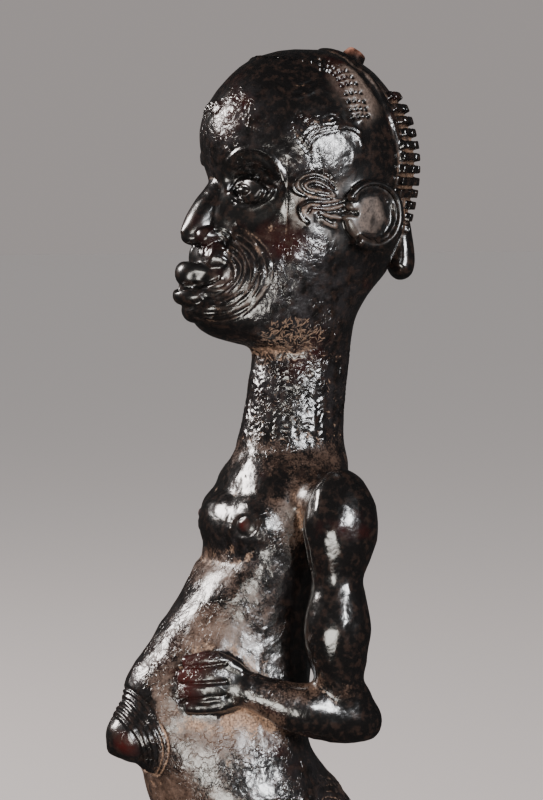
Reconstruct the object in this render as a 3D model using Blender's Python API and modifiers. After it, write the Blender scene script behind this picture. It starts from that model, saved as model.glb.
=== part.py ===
"""A standing carved-wood cult figure on a low oval base, made as one solid.

The figure faces -Y and its left side is +X. The origin is at the middle of the base's underside.
"""
import math

import bmesh
import bpy
from mathutils import Matrix, Vector
from mathutils.kdtree import KDTree

# Driving sizes, in metres
FIGURE_HEIGHT = 0.384  # from the soles to the crown
BASE_THICKNESS = 0.016
BASE_WIDTH = 0.092  # across, along X
BASE_DEPTH = 0.100  # front to back, along Y
BASE_EDGE_ROUNDING = 0.0025
BASE_OVERLAP = 0.0025  # how deep the soles run into the base that they are carved with

# The figure's own forms are written in carver's units, of which its height has 384. A place is
# (x, y, z) with z counted from the soles, so the whole figure follows FIGURE_HEIGHT.
UNIT = FIGURE_HEIGHT / 384.0

# Finish of the wood
WOOD_COLOUR = (0.045, 0.032, 0.026, 1.0)
WOOD_ROUGHNESS = 0.32

# How fine the clay is, in carver's units, and how many triangles the carved solid is thinned to
MASS_VOXEL = 1.5
FEATURE_VOXEL = 0.8
MASS_SMOOTHING = 8
FEATURE_SMOOTHING = 2
CARVED_TRIANGLES = 8900
SCAR_REACH = 1.1  # skin this near to a raised scar, lid or fold is kept finer when the rest is thinned
SCAR_FAVOUR = 0.025

UPRIGHT = (0, 0, 1)


def clear_scene():
    for obj in list(bpy.data.objects):
        bpy.data.objects.remove(obj, do_unlink=True)


def spot(x, y, z):
    """A point of the figure, in metres, from carver's units above the soles."""
    return Vector((x * UNIT, y * UNIT, BASE_THICKNESS + z * UNIT))


def new_collection(name):
    collection = bpy.data.collections.new(name)
    bpy.context.scene.collection.children.link(collection)
    return collection


def new_object(name, data, collection):
    obj = bpy.data.objects.new(name, data)
    collection.objects.link(obj)
    return obj


def object_from_bmesh(name, bm, collection):
    mesh = bpy.data.meshes.new(name)
    bm.to_mesh(mesh)
    bm.free()
    return new_object(name, mesh, collection)


def blend(a, b, c, d, t):
    """The Catmull-Rom value between b and c, with a and d on either side."""
    square = 2 * a - 5 * b + 4 * c - d
    cube = 3 * b - a - 3 * c + d
    return 0.5 * (2 * b + (c - a) * t + square * t * t + cube * t ** 3)


def smooth_rows(rows, steps):
    """Rows of numbers with steps - 1 more between each two, on a smooth curve through them all."""
    found = []
    last = len(rows) - 1
    for i in range(last):
        around = [rows[max(i - 1, 0)], rows[i], rows[i + 1], rows[min(i + 2, last)]]
        for k in range(steps):
            found.append([blend(*column, k / steps) for column in zip(*around)])
    found.append(list(rows[last]))
    return found


def skin_rings(name, rings, collection):
    """A closed mesh through rings with as many points each, capped at both ends."""
    bm = bmesh.new()
    loops = [[bm.verts.new(point) for point in ring] for ring in rings]
    count = len(rings[0])
    for low, high in zip(loops, loops[1:]):
        for i in range(count):
            k = (i + 1) % count
            bm.faces.new((low[i], low[k], high[k], high[i]))
    bm.faces.new(reversed(loops[0]))
    bm.faces.new(loops[-1])
    bmesh.ops.recalc_face_normals(bm, faces=bm.faces)
    return object_from_bmesh(name, bm, collection)


def signed_power(value, power):
    return math.copysign(abs(value) ** power, value)


def stack(name, sections, collection, steps=4, sides=40):
    """A body of level sections: (z, front y, widest y, back y, half width, fullness of the front)."""
    rings = []
    for z, front, widest, back, half_width, fullness in smooth_rows(sections, steps):
        ring = []
        for i in range(sides):
            angle = 2 * math.pi * i / sides
            across, along = math.cos(angle), math.sin(angle)
            power = 2 / fullness if along < 0 else 1
            reach = widest - front if along < 0 else back - widest
            x = half_width * signed_power(across, power)
            y = widest + reach * signed_power(along, power)
            ring.append(spot(x, y, z))
        rings.append(ring)
    return skin_rings(name, rings, collection)


def limb(name, stations, collection, steps=4, sides=24, spread=(1, 0, 0)):
    """A limb through stations (x, y, z, radius along spread, radius square to it)."""
    wide = Vector(spread)
    rows = smooth_rows(stations, steps)
    centres = [Vector(row[:3]) for row in rows]
    rings = []
    for i, row in enumerate(rows):
        along = (centres[min(i + 1, len(rows) - 1)] - centres[max(i - 1, 0)]).normalized()
        across = (wide - along * along.dot(wide)).normalized() * row[3]
        square = along.cross(across).normalized() * row[4]
        angles = [2 * math.pi * k / sides for k in range(sides)]
        rings.append([spot(*(centres[i] + across * math.cos(a) + square * math.sin(a))) for a in angles])
    return skin_rings(name, rings, collection)


def ball(name, centre, radii, collection, turn=(0, 0, 0)):
    """An ellipsoid with its radii along X, Y and Z, then turned by degrees about them."""
    bm = bmesh.new()
    bmesh.ops.create_uvsphere(bm, u_segments=28, v_segments=18, radius=1.0)
    place = Matrix.Translation(spot(*centre))
    for axis, degrees in zip("ZYX", reversed(turn)):
        place = place @ Matrix.Rotation(math.radians(degrees), 4, axis)
    place = place @ Matrix.Diagonal((*[radius * UNIT for radius in radii], 1))
    bmesh.ops.transform(bm, matrix=place, verts=bm.verts)
    return object_from_bmesh(name, bm, collection)


def both_sides(form, collection):
    """The same form again on the other side of the figure."""
    mesh = form.data.copy()
    mesh.transform(Matrix.Scale(-1, 4, (1, 0, 0)))
    mesh.flip_normals()
    return new_object(form.name.replace("left", "right"), mesh, collection)


def on_skin(figure, x, y, z):
    """The point of the figure's surface nearest to a place, and the way that it faces."""
    found, point, normal, index = figure.closest_point_on_mesh(spot(x, y, z))
    return point, normal


def evaluated_mesh(obj):
    graph = bpy.context.evaluated_depsgraph_get()
    return bpy.data.meshes.new_from_object(obj.evaluated_get(graph))


def ridge(name, points, radius, figure, pool, sunk=0.1, steps=4):
    """A raised line along the figure's skin, its middle sunk by a share of its radius."""
    skin = [on_skin(figure, *row) for row in smooth_rows(points, steps)]
    route = [point - normal * radius * sunk * UNIT for point, normal in skin]
    curve = bpy.data.curves.new(name + "_line", "CURVE")
    curve.dimensions = "3D"
    curve.bevel_depth = radius * UNIT
    curve.bevel_resolution = 2
    curve.use_fill_caps = True
    line = curve.splines.new("POLY")
    line.points.add(len(route) - 1)
    for place, point in zip(line.points, route):
        place.co = (*point, 1)
    guide = new_object(name + "_line", curve, pool)
    bm = bmesh.new()
    bm.from_mesh(evaluated_mesh(guide))
    bmesh.ops.remove_doubles(bm, verts=bm.verts, dist=0.0001 * UNIT)
    bpy.data.objects.remove(guide, do_unlink=True)
    return object_from_bmesh(name, bm, pool)


def dented(figure, dents):
    """Hollows pressed into both sides: (x, y, z, radius, depth), deepest at the middle."""
    for x, y, z, radius, depth in dents:
        for side in (1, -1):
            middle, normal = on_skin(figure, side * x, y, z)
            inward = -normal * depth * UNIT
            for vertex in figure.data.vertices:
                share = (vertex.co - middle).length / (radius * UNIT)
                if share < 1:
                    vertex.co += inward * (1 - share * share) ** 2


def favour_scars(figure, scar_points):
    """A vertex group of the whole figure, lower beside raised lines, so that thinning keeps them."""
    tree = KDTree(len(scar_points))
    for index, point in enumerate(scar_points):
        tree.insert(point, index)
    tree.balance()
    group = figure.vertex_groups.new(name="plain")
    for vertex in figure.data.vertices:
        near = tree.find(vertex.co)[2] < SCAR_REACH * UNIT
        group.add([vertex.index], 0.5 if near else 1, "REPLACE")
    return group.name


def joined(name, pool, collection):
    """One object with the meshes of all the pool's forms, which are then removed."""
    bm = bmesh.new()
    for form in list(pool.objects):
        bm.from_mesh(form.data)
        bpy.data.objects.remove(form, do_unlink=True)
    return object_from_bmesh(name, bm, collection)


def fused(obj, voxel, smoothing):
    """The overlapping forms of a mesh grown into one skin, with its seams softened."""
    remesh = obj.modifiers.new("fuse", "REMESH")
    remesh.mode = "VOXEL"
    remesh.voxel_size = voxel * UNIT
    soften = obj.modifiers.new("soften", "SMOOTH")
    soften.factor = 0.5
    soften.iterations = round(smoothing)
    mesh = evaluated_mesh(obj)
    obj.modifiers.clear()
    obj.data = mesh
    return obj


# Level sections of the trunk, from the crotch to the root of the neck
TRUNK = (
    (80, -16, -4, 14, 16, 2.0),
    (86, -30, -4, 24, 26, 2.0),
    (94, -39, -5, 29, 32, 2.0),
    (102, -44, -6, 30, 35, 2.1),
    (109, -46, -7, 26, 35.5, 2.2),
    (114, -47, -8, 21, 34, 2.2),
    (118, -51, -8, 18, 33, 2.0),
    (123, -56, -8, 15, 32, 1.8),
    (129, -58, -8, 13, 31, 1.8),
    (137, -58, -7, 14, 29, 1.8),
    (146, -57, -6, 15, 27, 1.9),
    (153, -54, -5, 16, 25.5, 2.0),
    (162, -47, -5, 17.5, 24.5, 2.0),
    (171, -40, -4, 18, 24, 2.0),
    (180, -33, -3, 21, 24.5, 2.1),
    (189, -26.5, -1, 25, 26, 2.2),
    (198, -21.5, 0, 28, 27, 2.3),
    (208, -18, 2, 30, 28, 2.4),
    (217, -16.5, 4, 31, 28, 2.3),
    (224, -15.5, 6, 32, 26, 2.2),
    (230, -12, 8, 32, 23, 2.1),
    (236, -9, 10, 31, 18, 2.0),
)
SHOULDER_GIRDLE = (
    (-38, 12, 214, 8, 10),
    (-26, 11, 217, 10, 11),
    (0, 10, 220, 13, 13),
    (26, 11, 217, 10, 11),
    (38, 12, 214, 8, 10),
)
BREAST_CENTRE = (13.5, -8, 206.5)
BREAST_RADII = (13.5, 12.5, 15)
CHEST_CENTRE = (0, -9.5, 206)  # fills the hollow between the breasts
CHEST_RADII = (20, 15.5, 15.5)
BUTTOCK_CENTRE = (17, 9.5, 92)
BUTTOCK_RADII = (19, 20, 20)
BELLY_CENTRE = (0, -45, 132)
BELLY_RADII = (18, 14, 14)
BELLY_TURN = (15, 0, 0)


def trunk_forms(pool):
    stack("trunk", TRUNK, pool)
    limb("shoulder_girdle", SHOULDER_GIRDLE, pool, spread=UPRIGHT)
    both_sides(ball("breast_left", BREAST_CENTRE, BREAST_RADII, pool), pool)
    ball("chest", CHEST_CENTRE, CHEST_RADII, pool)
    both_sides(ball("buttock_left", BUTTOCK_CENTRE, BUTTOCK_RADII, pool), pool)
    ball("navel_swelling", BELLY_CENTRE, BELLY_RADII, pool, BELLY_TURN)


# Level sections of the neck and the head, from inside the chest to the crown
HEAD_AND_NECK = (
    (224, -11, 10.5, 31, 20, 2.0),
    (234, -10, 10.4, 31, 19.2, 2.0),
    (245, -8, 11.7, 31, 18.4, 2.0),
    (256, -6, 12.8, 32, 17.8, 2.0),
    (267, -4.2, 14.3, 33.3, 17.8, 2.0),
    (272.5, -5, 14.5, 33.6, 18.4, 2.0),
    (275.5, -17, 12, 34, 20, 2.0),
    (279.5, -25, 10, 34.4, 22, 2.0),
    (283, -28.3, 9, 35.2, 23.5, 2.0),
    (287, -29.5, 9, 37, 25, 2.0),
    (293, -29, 10, 41, 26.5, 2.0),
    (299.5, -27, 11, 47, 28.5, 2.0),
    (306.5, -24, 13, 51, 30, 2.0),
    (313, -21.6, 15, 53.5, 30.8, 2.0),
    (320, -20.4, 17, 55.5, 31.5, 2.0),
    (326.5, -20.2, 18, 57, 32.5, 2.0),
    (333.5, -21, 19, 58, 33.5, 2.0),
    (340, -22.4, 20, 58.4, 34, 2.0),
    (347, -23.8, 20, 57.8, 34, 2.1),
    (353.5, -23.9, 20, 56.2, 33.2, 2.1),
    (360.5, -22.3, 20, 54, 31.2, 2.1),
    (367, -18.4, 19, 50, 28, 2.1),
    (373.5, -13.0, 18, 44.5, 23.6, 2.0),
    (378, -7.5, 17, 39, 19, 2.0),
    (381.5, 0, 16, 32, 13, 2.0),
    (383.5, 8, 15, 24, 7, 2.0),
)

UPPER_ARM = (
    (36, 10, 227, 5, 6),
    (38.5, 11, 223, 9.6, 10.4),
    (40.5, 11.8, 216, 12.4, 13.2),
    (41.5, 11.6, 208, 13.0, 14.2),
    (41.5, 11, 198, 11.4, 12.2),
    (41.5, 10.5, 190, 9.2, 9.5),
    (42, 10.3, 182, 10.6, 11.0),
    (42.5, 10.0, 172, 12.2, 12.8),
    (42, 10.3, 162, 10.8, 11.2),
    (41.5, 12, 151, 8.4, 8.6),
    (41, 14.5, 145, 8.6, 9.4),
    (41, 17, 137, 8.6, 9.0),
    (41, 19, 132, 4, 5),
)
FOREARM = (
    (42, 27, 134.5, 2.2, 3),
    (42, 24, 135.5, 6.2, 6.6),
    (41, 18, 138, 9.0, 10.0),
    (39.5, 8, 140, 9.2, 10.2),
    (37.5, -3, 142.5, 8.4, 9.6),
    (34.5, -12, 146, 6.8, 7.8),
    (31.5, -19, 149, 5.8, 6.8),
    (29, -24, 151, 5.0, 7.6),
)
HAND_CENTRE = (25, -29.5, 151.8)
HAND_RADII = (6.5, 12.5, 10.6)
HAND_TURN = -28  # degrees that the hand turns in over the belly
RIGHT_HAND_DROP = 8  # how much lower the right hand lies than the left
FINGERS = (
    ((30.5, -23, 156), (28, -30, 160.4), (24.5, -36, 160.6), (20.5, -41.3, 159)),
    ((31, -23, 153.5), (27.5, -31, 155.4), (24, -37, 155.2), (19.8, -43, 153.8)),
    ((31, -23, 150), (27.5, -31, 149.8), (24, -37, 149.2), (19.8, -43, 148.6)),
    ((30.5, -23, 147), (28, -30, 144.4), (24.5, -35.5, 143.4), (21, -40.5, 143.4)),
)
FINGER_RADIUS = 2.8
FINGER_PAD_CENTRE = (25, -34, 151.6)
FINGER_PAD_RADII = (5, 11, 9.5)
FINGER_PAD_TURN = -32


def hand_sides():
    """Name, side and drop of each hand."""
    return (("left", 1, 0), ("right", -1, RIGHT_HAND_DROP))


def arm_forms(pool):
    both_sides(limb("upper_arm_left", UPPER_ARM, pool), pool)
    last = len(FOREARM) - 1
    for name, side, drop in hand_sides():
        stations = [
            (side * x, y, z - drop * k / last, wide, deep)
            for k, (x, y, z, wide, deep) in enumerate(FOREARM)
        ]
        limb(f"forearm_{name}", stations, pool)
        hand_form(f"hand_{name}", HAND_CENTRE, HAND_RADII, HAND_TURN, side, drop, pool)


def hand_form(name, centre, radii, degrees, side, drop, pool):
    x, y, z = centre
    return ball(name, (side * x, y, z - drop), radii, pool, (0, 0, side * degrees))


def finger_forms(pool):
    for name, side, drop in hand_sides():
        pad = (FINGER_PAD_CENTRE, FINGER_PAD_RADII, FINGER_PAD_TURN)
        hand_form(f"finger_pad_{name}", *pad, side, drop, pool)
        for i, finger in enumerate(FINGERS):
            stations = [(side * x, y, z - drop, FINGER_RADIUS, FINGER_RADIUS) for x, y, z in finger]
            limb(f"finger_{i}_{name}", stations, pool, 4, 12, UPRIGHT)


THIGH = (
    (19, 6, 104, 14, 16),
    (19.5, -2, 92, 18, 22),
    (20, -12, 76, 17, 19),
    (20, -20, 62, 14.5, 15),
    (20, -23, 53, 12.8, 12.5),
    (20, -19, 45, 11.5, 11.5),
)
CALF = (
    (20, -21, 56, 10, 10),
    (20, -17, 46, 11.5, 11.5),
    (20, -7, 35, 13, 14),
    (20, -1, 25, 11.5, 12.5),
    (20, 2, 15, 9.0, 9.5),
    (20, 3, 8, 9.0, 10),
    (20, 3, 1, 9.5, 10.5),
)
FOOT = (
    (20, 17, 3, 4, 4),
    (20, 14, 4, 8, 7),
    (20, 5, 4.5, 9.5, 8),
    (20.5, -8, 3.5, 10, 7.5),
    (21, -20, 3, 11, 6),
    (21, -29, 2.5, 11, 4.6),
    (21, -33, 2, 8, 3),
)
TOE_REACH = (2.5, 2, 1.2, 0, -1.5)  # of the five toes, from the inner side
TOE_PITCH = 3.7
INNER_TOE_X = 13.4


def leg_forms(pool):
    both_sides(limb("thigh_left", THIGH, pool), pool)
    both_sides(limb("calf_left", CALF, pool), pool)
    both_sides(limb("foot_left", FOOT, pool), pool)


def toe_forms(pool):
    for k, reach in enumerate(TOE_REACH):
        x = INNER_TOE_X + TOE_PITCH * k
        middle, tip = -31 - reach / 2, -35 - reach
        toe = ((x, -24, 2.5, 2.1, 2.4), (x, middle, 2.6, 2.0, 2.4), (x, tip, 1.8, 1.6, 2.0))
        both_sides(limb(f"toe_{k}_left", toe, pool, 3, 10), pool)


NOSE_ROOT_CENTRE = (0, -19, 321.5)
NOSE_ROOT_RADII = (11.5, 6, 12.5)
NOSE_ROOT_TURN = (-14, 0, 0)
NOSE = (
    (0, -15, 340, 4, 4),
    (0, -18.4, 331.5, 6, 4.6),
    (0, -22.8, 324, 6.4, 6.0),
    (0, -27.6, 318.4, 5.8, 5.2),
    (0, -31.2, 315.8, 3.8, 3.2),
    (0, -33.4, 314.8, 1.4, 1.4),
)
NOSTRIL_CENTRE = (5.2, -25.2, 314.3)
NOSTRIL_RADII = (3.6, 4.6, 3.6)
# Round forms on the face's middle line: centre, radii and turn in degrees
FACE_SWELLINGS = {
    "nose_tip": ((0, -29, 314), (4.2, 4.6, 3.2), (0, 0, 0)),
    "upper_lip_pad": ((0, -20.5, 306), (13, 8.5, 8), (0, 0, 0)),
    "mouth_mass": ((0, -20, 296.5), (14.5, 11.5, 10), (0, 0, 0)),
    "chin": ((0, -22.5, 288.5), (12.5, 9, 7), (-25, 0, 0)),
}
# Stations of one half of each lip and of the swelling under them, from its corner to the middle
UPPER_LIP = (
    (9, -21.5, 299, 1.2, 1.2),
    (6.8, -26.5, 300.2, 3, 2.8),
    (3.6, -30.6, 300.6, 4.2, 3.8),
    (0, -31.8, 300.3, 4.6, 4.2),
)
LOWER_LIP = (
    (9, -21.5, 295.4, 1.2, 1.2),
    (6.6, -27.4, 293.2, 2.6, 2.8),
    (3.6, -31.6, 292.4, 3.4, 3.4),
    (0, -33.2, 292.4, 3.6, 3.6),
)
UNDER_LIP = (
    (11, -20.5, 288.5, 2, 2),
    (8, -24.5, 287.6, 3.6, 3.4),
    (4, -27.6, 287, 4.6, 4.2),
    (0, -28.2, 286.8, 4.8, 4.4),
)
EYE_CENTRE = (18.3, -11.6, 331)
EYE_RADII = (7.6, 4.0, 4.3)
EYE_TURN = 38  # degrees that its outer corner turns back
EYE_DENTS = (
    (18, -14, 333, 11.5, 3.6),
    (12, -18, 334, 7, 1.6),
    (24, -8, 333, 7, 1.5),
    (24, -10, 317, 14, 1.8),
)
LOWER_LID = ((10, -20, 328.5), (14.5, -18, 325), (20, -14, 324.6), (25, -8, 328), (27.5, -4, 332))
BROW = ((7, -20, 337), (10.5, -19, 342), (18, -15, 345.5), (25, -8, 342.5), (28.5, -3, 336))
CHEEK_FOLD = ((19, -16, 309), (23.5, -10, 305.5), (25, -7, 299), (23, -9, 293), (19, -14, 289))
TEMPLE_SCAR_LOW = ((29.5, 2, 318.5), (29, 0.5, 322.5), (29.5, 2, 326), (31.5, 8, 327), (32.5, 16, 325.5))
TEMPLE_SCAR_MID = ((30, 4, 320), (31, 8, 321.5), (32, 13, 322), (32, 17, 321))
# Raised lines of each side of the face: radius and the points it passes
FACE_RIDGES = {
    "lower_lid": (1.7, LOWER_LID),
    "brow": (1.2, BROW),
    "cheek_fold": (1.7, CHEEK_FOLD),
    "temple_scar_low": (1.5, TEMPLE_SCAR_LOW),
    "temple_scar_mid": (1.4, TEMPLE_SCAR_MID),
}
# Closed scars on the temple: half length and half height
TEMPLE_LOOPS = {"temple_loop_outer": (8.0, 5.6), "temple_loop_inner": (4.2, 2.0)}
TEMPLE_LOOP_CENTRE = (31, 7, 332.5)
TEMPLE_LOOP_POINTS = 8
TEMPLE_LOOP_RADIUS = 1.4


def whole_lip(half):
    other = [(-x, y, z, tall, deep) for x, y, z, tall, deep in reversed(half[:-1])]
    return (*half, *other)


def face_forms(figure, pool):
    limb("nose", NOSE, pool)
    both_sides(ball("nostril_left", NOSTRIL_CENTRE, NOSTRIL_RADII, pool), pool)
    for name, (centre, radii, turn) in FACE_SWELLINGS.items():
        ball(name, centre, radii, pool, turn)
    limb("upper_lip", whole_lip(UPPER_LIP), pool, spread=UPRIGHT)
    limb("lower_lip", whole_lip(LOWER_LIP), pool, spread=UPRIGHT)
    limb("under_lip", whole_lip(UNDER_LIP), pool, spread=UPRIGHT)
    both_sides(ball("eye_left", EYE_CENTRE, EYE_RADII, pool, (0, 0, EYE_TURN)), pool)
    for name, (radius, points) in FACE_RIDGES.items():
        both_sides(ridge(name + "_left", points, radius, figure, pool), pool)
    x, y, z = TEMPLE_LOOP_CENTRE
    for name, (half_length, half_height) in TEMPLE_LOOPS.items():
        angles = [2 * math.pi * k / TEMPLE_LOOP_POINTS for k in range(TEMPLE_LOOP_POINTS + 1)]
        loop = [(x, y + half_length * math.cos(a), z + half_height * math.sin(a)) for a in angles]
        both_sides(ridge(name + "_left", loop, TEMPLE_LOOP_RADIUS, figure, pool), pool)


EAR_CENTRE = (31.5, 27.7, 322)
EAR_RADIUS = 11
EAR_THICKNESS = 4.6
EAR_TURN = 12  # degrees that its back swings out
EAR_RIM_RADIUS = 2.1
EAR_RIM_STAND = 3.6  # how far the rim's line stands out from the ear's centre
EAR_FLARE = 1.2  # how much further out its back stands
EAR_RIM_START = 150  # degrees round from the back of the head, by the top
EAR_RIM_SWEEP = 275


def ear_forms(pool):
    """A flat round ear whose rim runs from the top front round the back to the lobe."""
    x, y, z = EAR_CENTRE
    radii = (EAR_THICKNESS, EAR_RADIUS, EAR_RADIUS)
    plate = ball("ear_plate_left", EAR_CENTRE, radii, pool, (0, 0, EAR_TURN))
    both_sides(plate, pool)
    rim = []
    stations = 11
    for k in range(stations):
        angle = math.radians(EAR_RIM_START - EAR_RIM_SWEEP * k / (stations - 1))
        back, up = math.cos(angle), math.sin(angle)
        place = (x + EAR_RIM_STAND - EAR_FLARE * back, y + EAR_RADIUS * back, z + EAR_RADIUS * up)
        rim.append((*place, EAR_RIM_RADIUS, EAR_RIM_RADIUS))
    both_sides(limb("ear_rim_left", rim, pool, 3, 12), pool)


# The hair: a cap of cut knobs behind a raised crest, with a plaited lock at the nape
HAIR_ROWS = 12
HAIR_ROW_PITCH = 4.4
HAIR_LOWEST_ROW = 317
HAIR_ROW_SPREADS = (24, 32, 40)  # degrees each way that the three lowest rows reach
HAIR_FULL_SPREAD = 47  # and every row above them
HAIR_KNOB = (1.7, 3.2, 1.4)  # half width, half depth, half height
HAIR_KNOB_PITCH = 5.0
HAIR_AXIS_Y = 20  # the upright line that the knobs are set out round
CREST_RADIUS = 3.0
CREST_SUNK = 0.55
CREST = (
    (0, 24, 383),
    (10, 27, 381.5),
    (18.5, 31, 375),
    (24.5, 36.5, 368),
    (28, 40, 358),
    (28.5, 43, 347),
    (27, 46, 339),
)
HAIRLINE_RADIUS = 2.6
HAIRLINE_SUNK = 0.7
HAIRLINE = (
    (0, -3, 381),
    (8, -2, 380.5),
    (17, 8, 378.5),
    (21, 19, 376),
    (27.5, 23, 368),
    (31.5, 24, 360),
    (32.6, 24.5, 356),
)
LOCK = (
    (0, 52, 325, 4, 3),
    (0, 55.5, 320, 5, 4),
    (0, 56.6, 312, 5.4, 4.6),
    (0, 56.8, 305, 6.2, 5.2),
    (0, 55.5, 301.5, 6.2, 5.4),
    (0, 53.5, 299.5, 3, 3),
)
BROKEN_CREST = ((0, 33, 377, 5, 5), (0, 36, 380.5, 4.4, 4.6), (0, 38, 383, 3.6, 3.8))


def hair_forms(figure, pool):
    both_sides(ridge("crest_left", CREST, CREST_RADIUS, figure, pool, CREST_SUNK), pool)
    both_sides(ridge("hairline_left", HAIRLINE, HAIRLINE_RADIUS, figure, pool, HAIRLINE_SUNK), pool)
    for row in range(HAIR_ROWS):
        z = HAIR_LOWEST_ROW + row * HAIR_ROW_PITCH
        degrees = HAIR_ROW_SPREADS[row] if row < len(HAIR_ROW_SPREADS) else HAIR_FULL_SPREAD
        back = seen_from_outside(figure, 0, z)[0]
        reach = back.y / UNIT - HAIR_AXIS_Y
        each_side = int(math.radians(degrees) * reach / HAIR_KNOB_PITCH)
        for k in range(-each_side, each_side + 1):
            point, normal = seen_from_outside(figure, k * HAIR_KNOB_PITCH / reach, z)
            knob(f"knob_{row}_{k}", point, normal, pool)
    limb("lock", LOCK, pool)
    limb("broken_crest", BROKEN_CREST, pool, 3, 10)


def seen_from_outside(figure, angle, z):
    """Where a level line towards the hair's axis first meets the skin, and the way that it faces there."""
    outward = Vector((math.sin(angle), math.cos(angle), 0))
    start = spot(0, HAIR_AXIS_Y, z) + outward * FIGURE_HEIGHT
    found, point, normal, index = figure.ray_cast(start, -outward)
    return point, normal


def knob(name, point, normal, pool):
    """One cut knob of hair, standing square to the skin."""
    bm = bmesh.new()
    bmesh.ops.create_cube(bm, size=2.0)
    turn = normal.to_track_quat("Y", "Z").to_matrix().to_4x4()
    size = Matrix.Diagonal((*[half * UNIT for half in HAIR_KNOB], 1))
    bmesh.ops.transform(bm, matrix=Matrix.Translation(point) @ turn @ size, verts=bm.verts)
    return object_from_bmesh(name, bm, pool)


NAVEL = (
    (0, -46, 134, 14.5, 15),
    (0, -51.5, 131, 13, 13),
    (0, -56, 128.7, 10.5, 10.2),
    (0, -59.5, 127, 7.6, 7.4),
    (0, -62, 125.6, 3.6, 3.4),
    (0, -63.2, 125, 1, 1),
)
NIPPLE_CENTRE = (19.3, -16.6, 208.9)
NIPPLE_RADII = (2.6, 2.6, 2.6)


def body_details(pool):
    finger_forms(pool)
    limb("navel", NAVEL, pool)
    both_sides(ball("nipple_left", NIPPLE_CENTRE, NIPPLE_RADII, pool), pool)


def base_drum(collection):
    """The low base, an oval drum whose underside lies at the origin's level."""
    bm = bmesh.new()
    bmesh.ops.create_cone(bm, cap_ends=True, segments=64, radius1=0.5, radius2=0.5, depth=1.0)
    size = Matrix.Diagonal((BASE_WIDTH, BASE_DEPTH, BASE_THICKNESS, 1))
    bmesh.ops.transform(bm, matrix=size @ Matrix.Translation((0, 0, 0.5)), verts=bm.verts)
    drum = object_from_bmesh("base_drum", bm, collection)
    rounding = drum.modifiers.new("rounding", "BEVEL")
    rounding.width = BASE_EDGE_ROUNDING
    rounding.segments = 2
    rounding.limit_method = "ANGLE"
    drum.hide_render = True
    drum.display_type = "WIRE"
    return drum


def cut_below_base_top(figure):
    """The figure's own mesh closed off level, just under the base's top."""
    bm = bmesh.new()
    bm.from_mesh(figure.data)
    level = Vector((0, 0, BASE_THICKNESS - BASE_OVERLAP))
    geometry = bm.verts[:] + bm.edges[:] + bm.faces[:]
    cut = bmesh.ops.bisect_plane(bm, geom=geometry, plane_co=level, plane_no=(0, 0, -1), clear_outer=True)
    rim = [item for item in cut["geom_cut"] if isinstance(item, bmesh.types.BMEdge)]
    bmesh.ops.edgeloop_fill(bm, edges=rim)
    bm.to_mesh(figure.data)
    bm.free()


def wood():
    material = bpy.data.materials.new("dark_wood")
    material.use_nodes = True
    shader = material.node_tree.nodes["Principled BSDF"]
    shader.inputs["Base Color"].default_value = WOOD_COLOUR
    shader.inputs["Roughness"].default_value = WOOD_ROUGHNESS
    shader.inputs["Metallic"].default_value = 0.0
    return material


def build_figure(collection, cutters):
    pool = new_collection("clay")
    trunk_forms(pool)
    stack("head_and_neck", HEAD_AND_NECK, pool)
    ball("nose_root", NOSE_ROOT_CENTRE, NOSE_ROOT_RADII, pool, NOSE_ROOT_TURN)
    arm_forms(pool)
    leg_forms(pool)
    masses = fused(joined("masses", pool, pool), MASS_VOXEL, MASS_SMOOTHING)
    dented(masses, EYE_DENTS)
    face_forms(masses, pool)
    ear_forms(pool)
    hair_forms(masses, pool)
    body_details(pool)
    toe_forms(pool)
    raised = [form for form in pool.objects if form.name.startswith(tuple([*FACE_RIDGES, *TEMPLE_LOOPS]))]
    scar_points = [vertex.co.copy() for form in raised for vertex in form.data.vertices]
    figure = fused(joined("figure", pool, collection), FEATURE_VOXEL, FEATURE_SMOOTHING)
    bpy.data.collections.remove(pool)
    cut_below_base_top(figure)
    thinning = figure.modifiers.new("thinning", "DECIMATE")
    thinning.ratio = CARVED_TRIANGLES / (2 * len(figure.data.polygons))
    thinning.vertex_group = favour_scars(figure, scar_points)
    thinning.vertex_group_factor = SCAR_FAVOUR
    standing = figure.modifiers.new("standing", "BOOLEAN")
    standing.operation = "UNION"
    standing.solver = "EXACT"
    standing.object = base_drum(cutters)
    figure.data.materials.append(wood())
    figure.data.shade_smooth()
    return figure


def main():
    clear_scene()
    collection = new_collection("standing_cult_figure")
    cutters = new_collection("cutters")
    return build_figure(collection, cutters)


if __name__ == "__main__":
    main()
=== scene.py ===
import math
import random

import bmesh
import bpy
import numpy as np
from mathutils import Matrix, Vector
from mathutils.kdtree import KDTree


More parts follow.
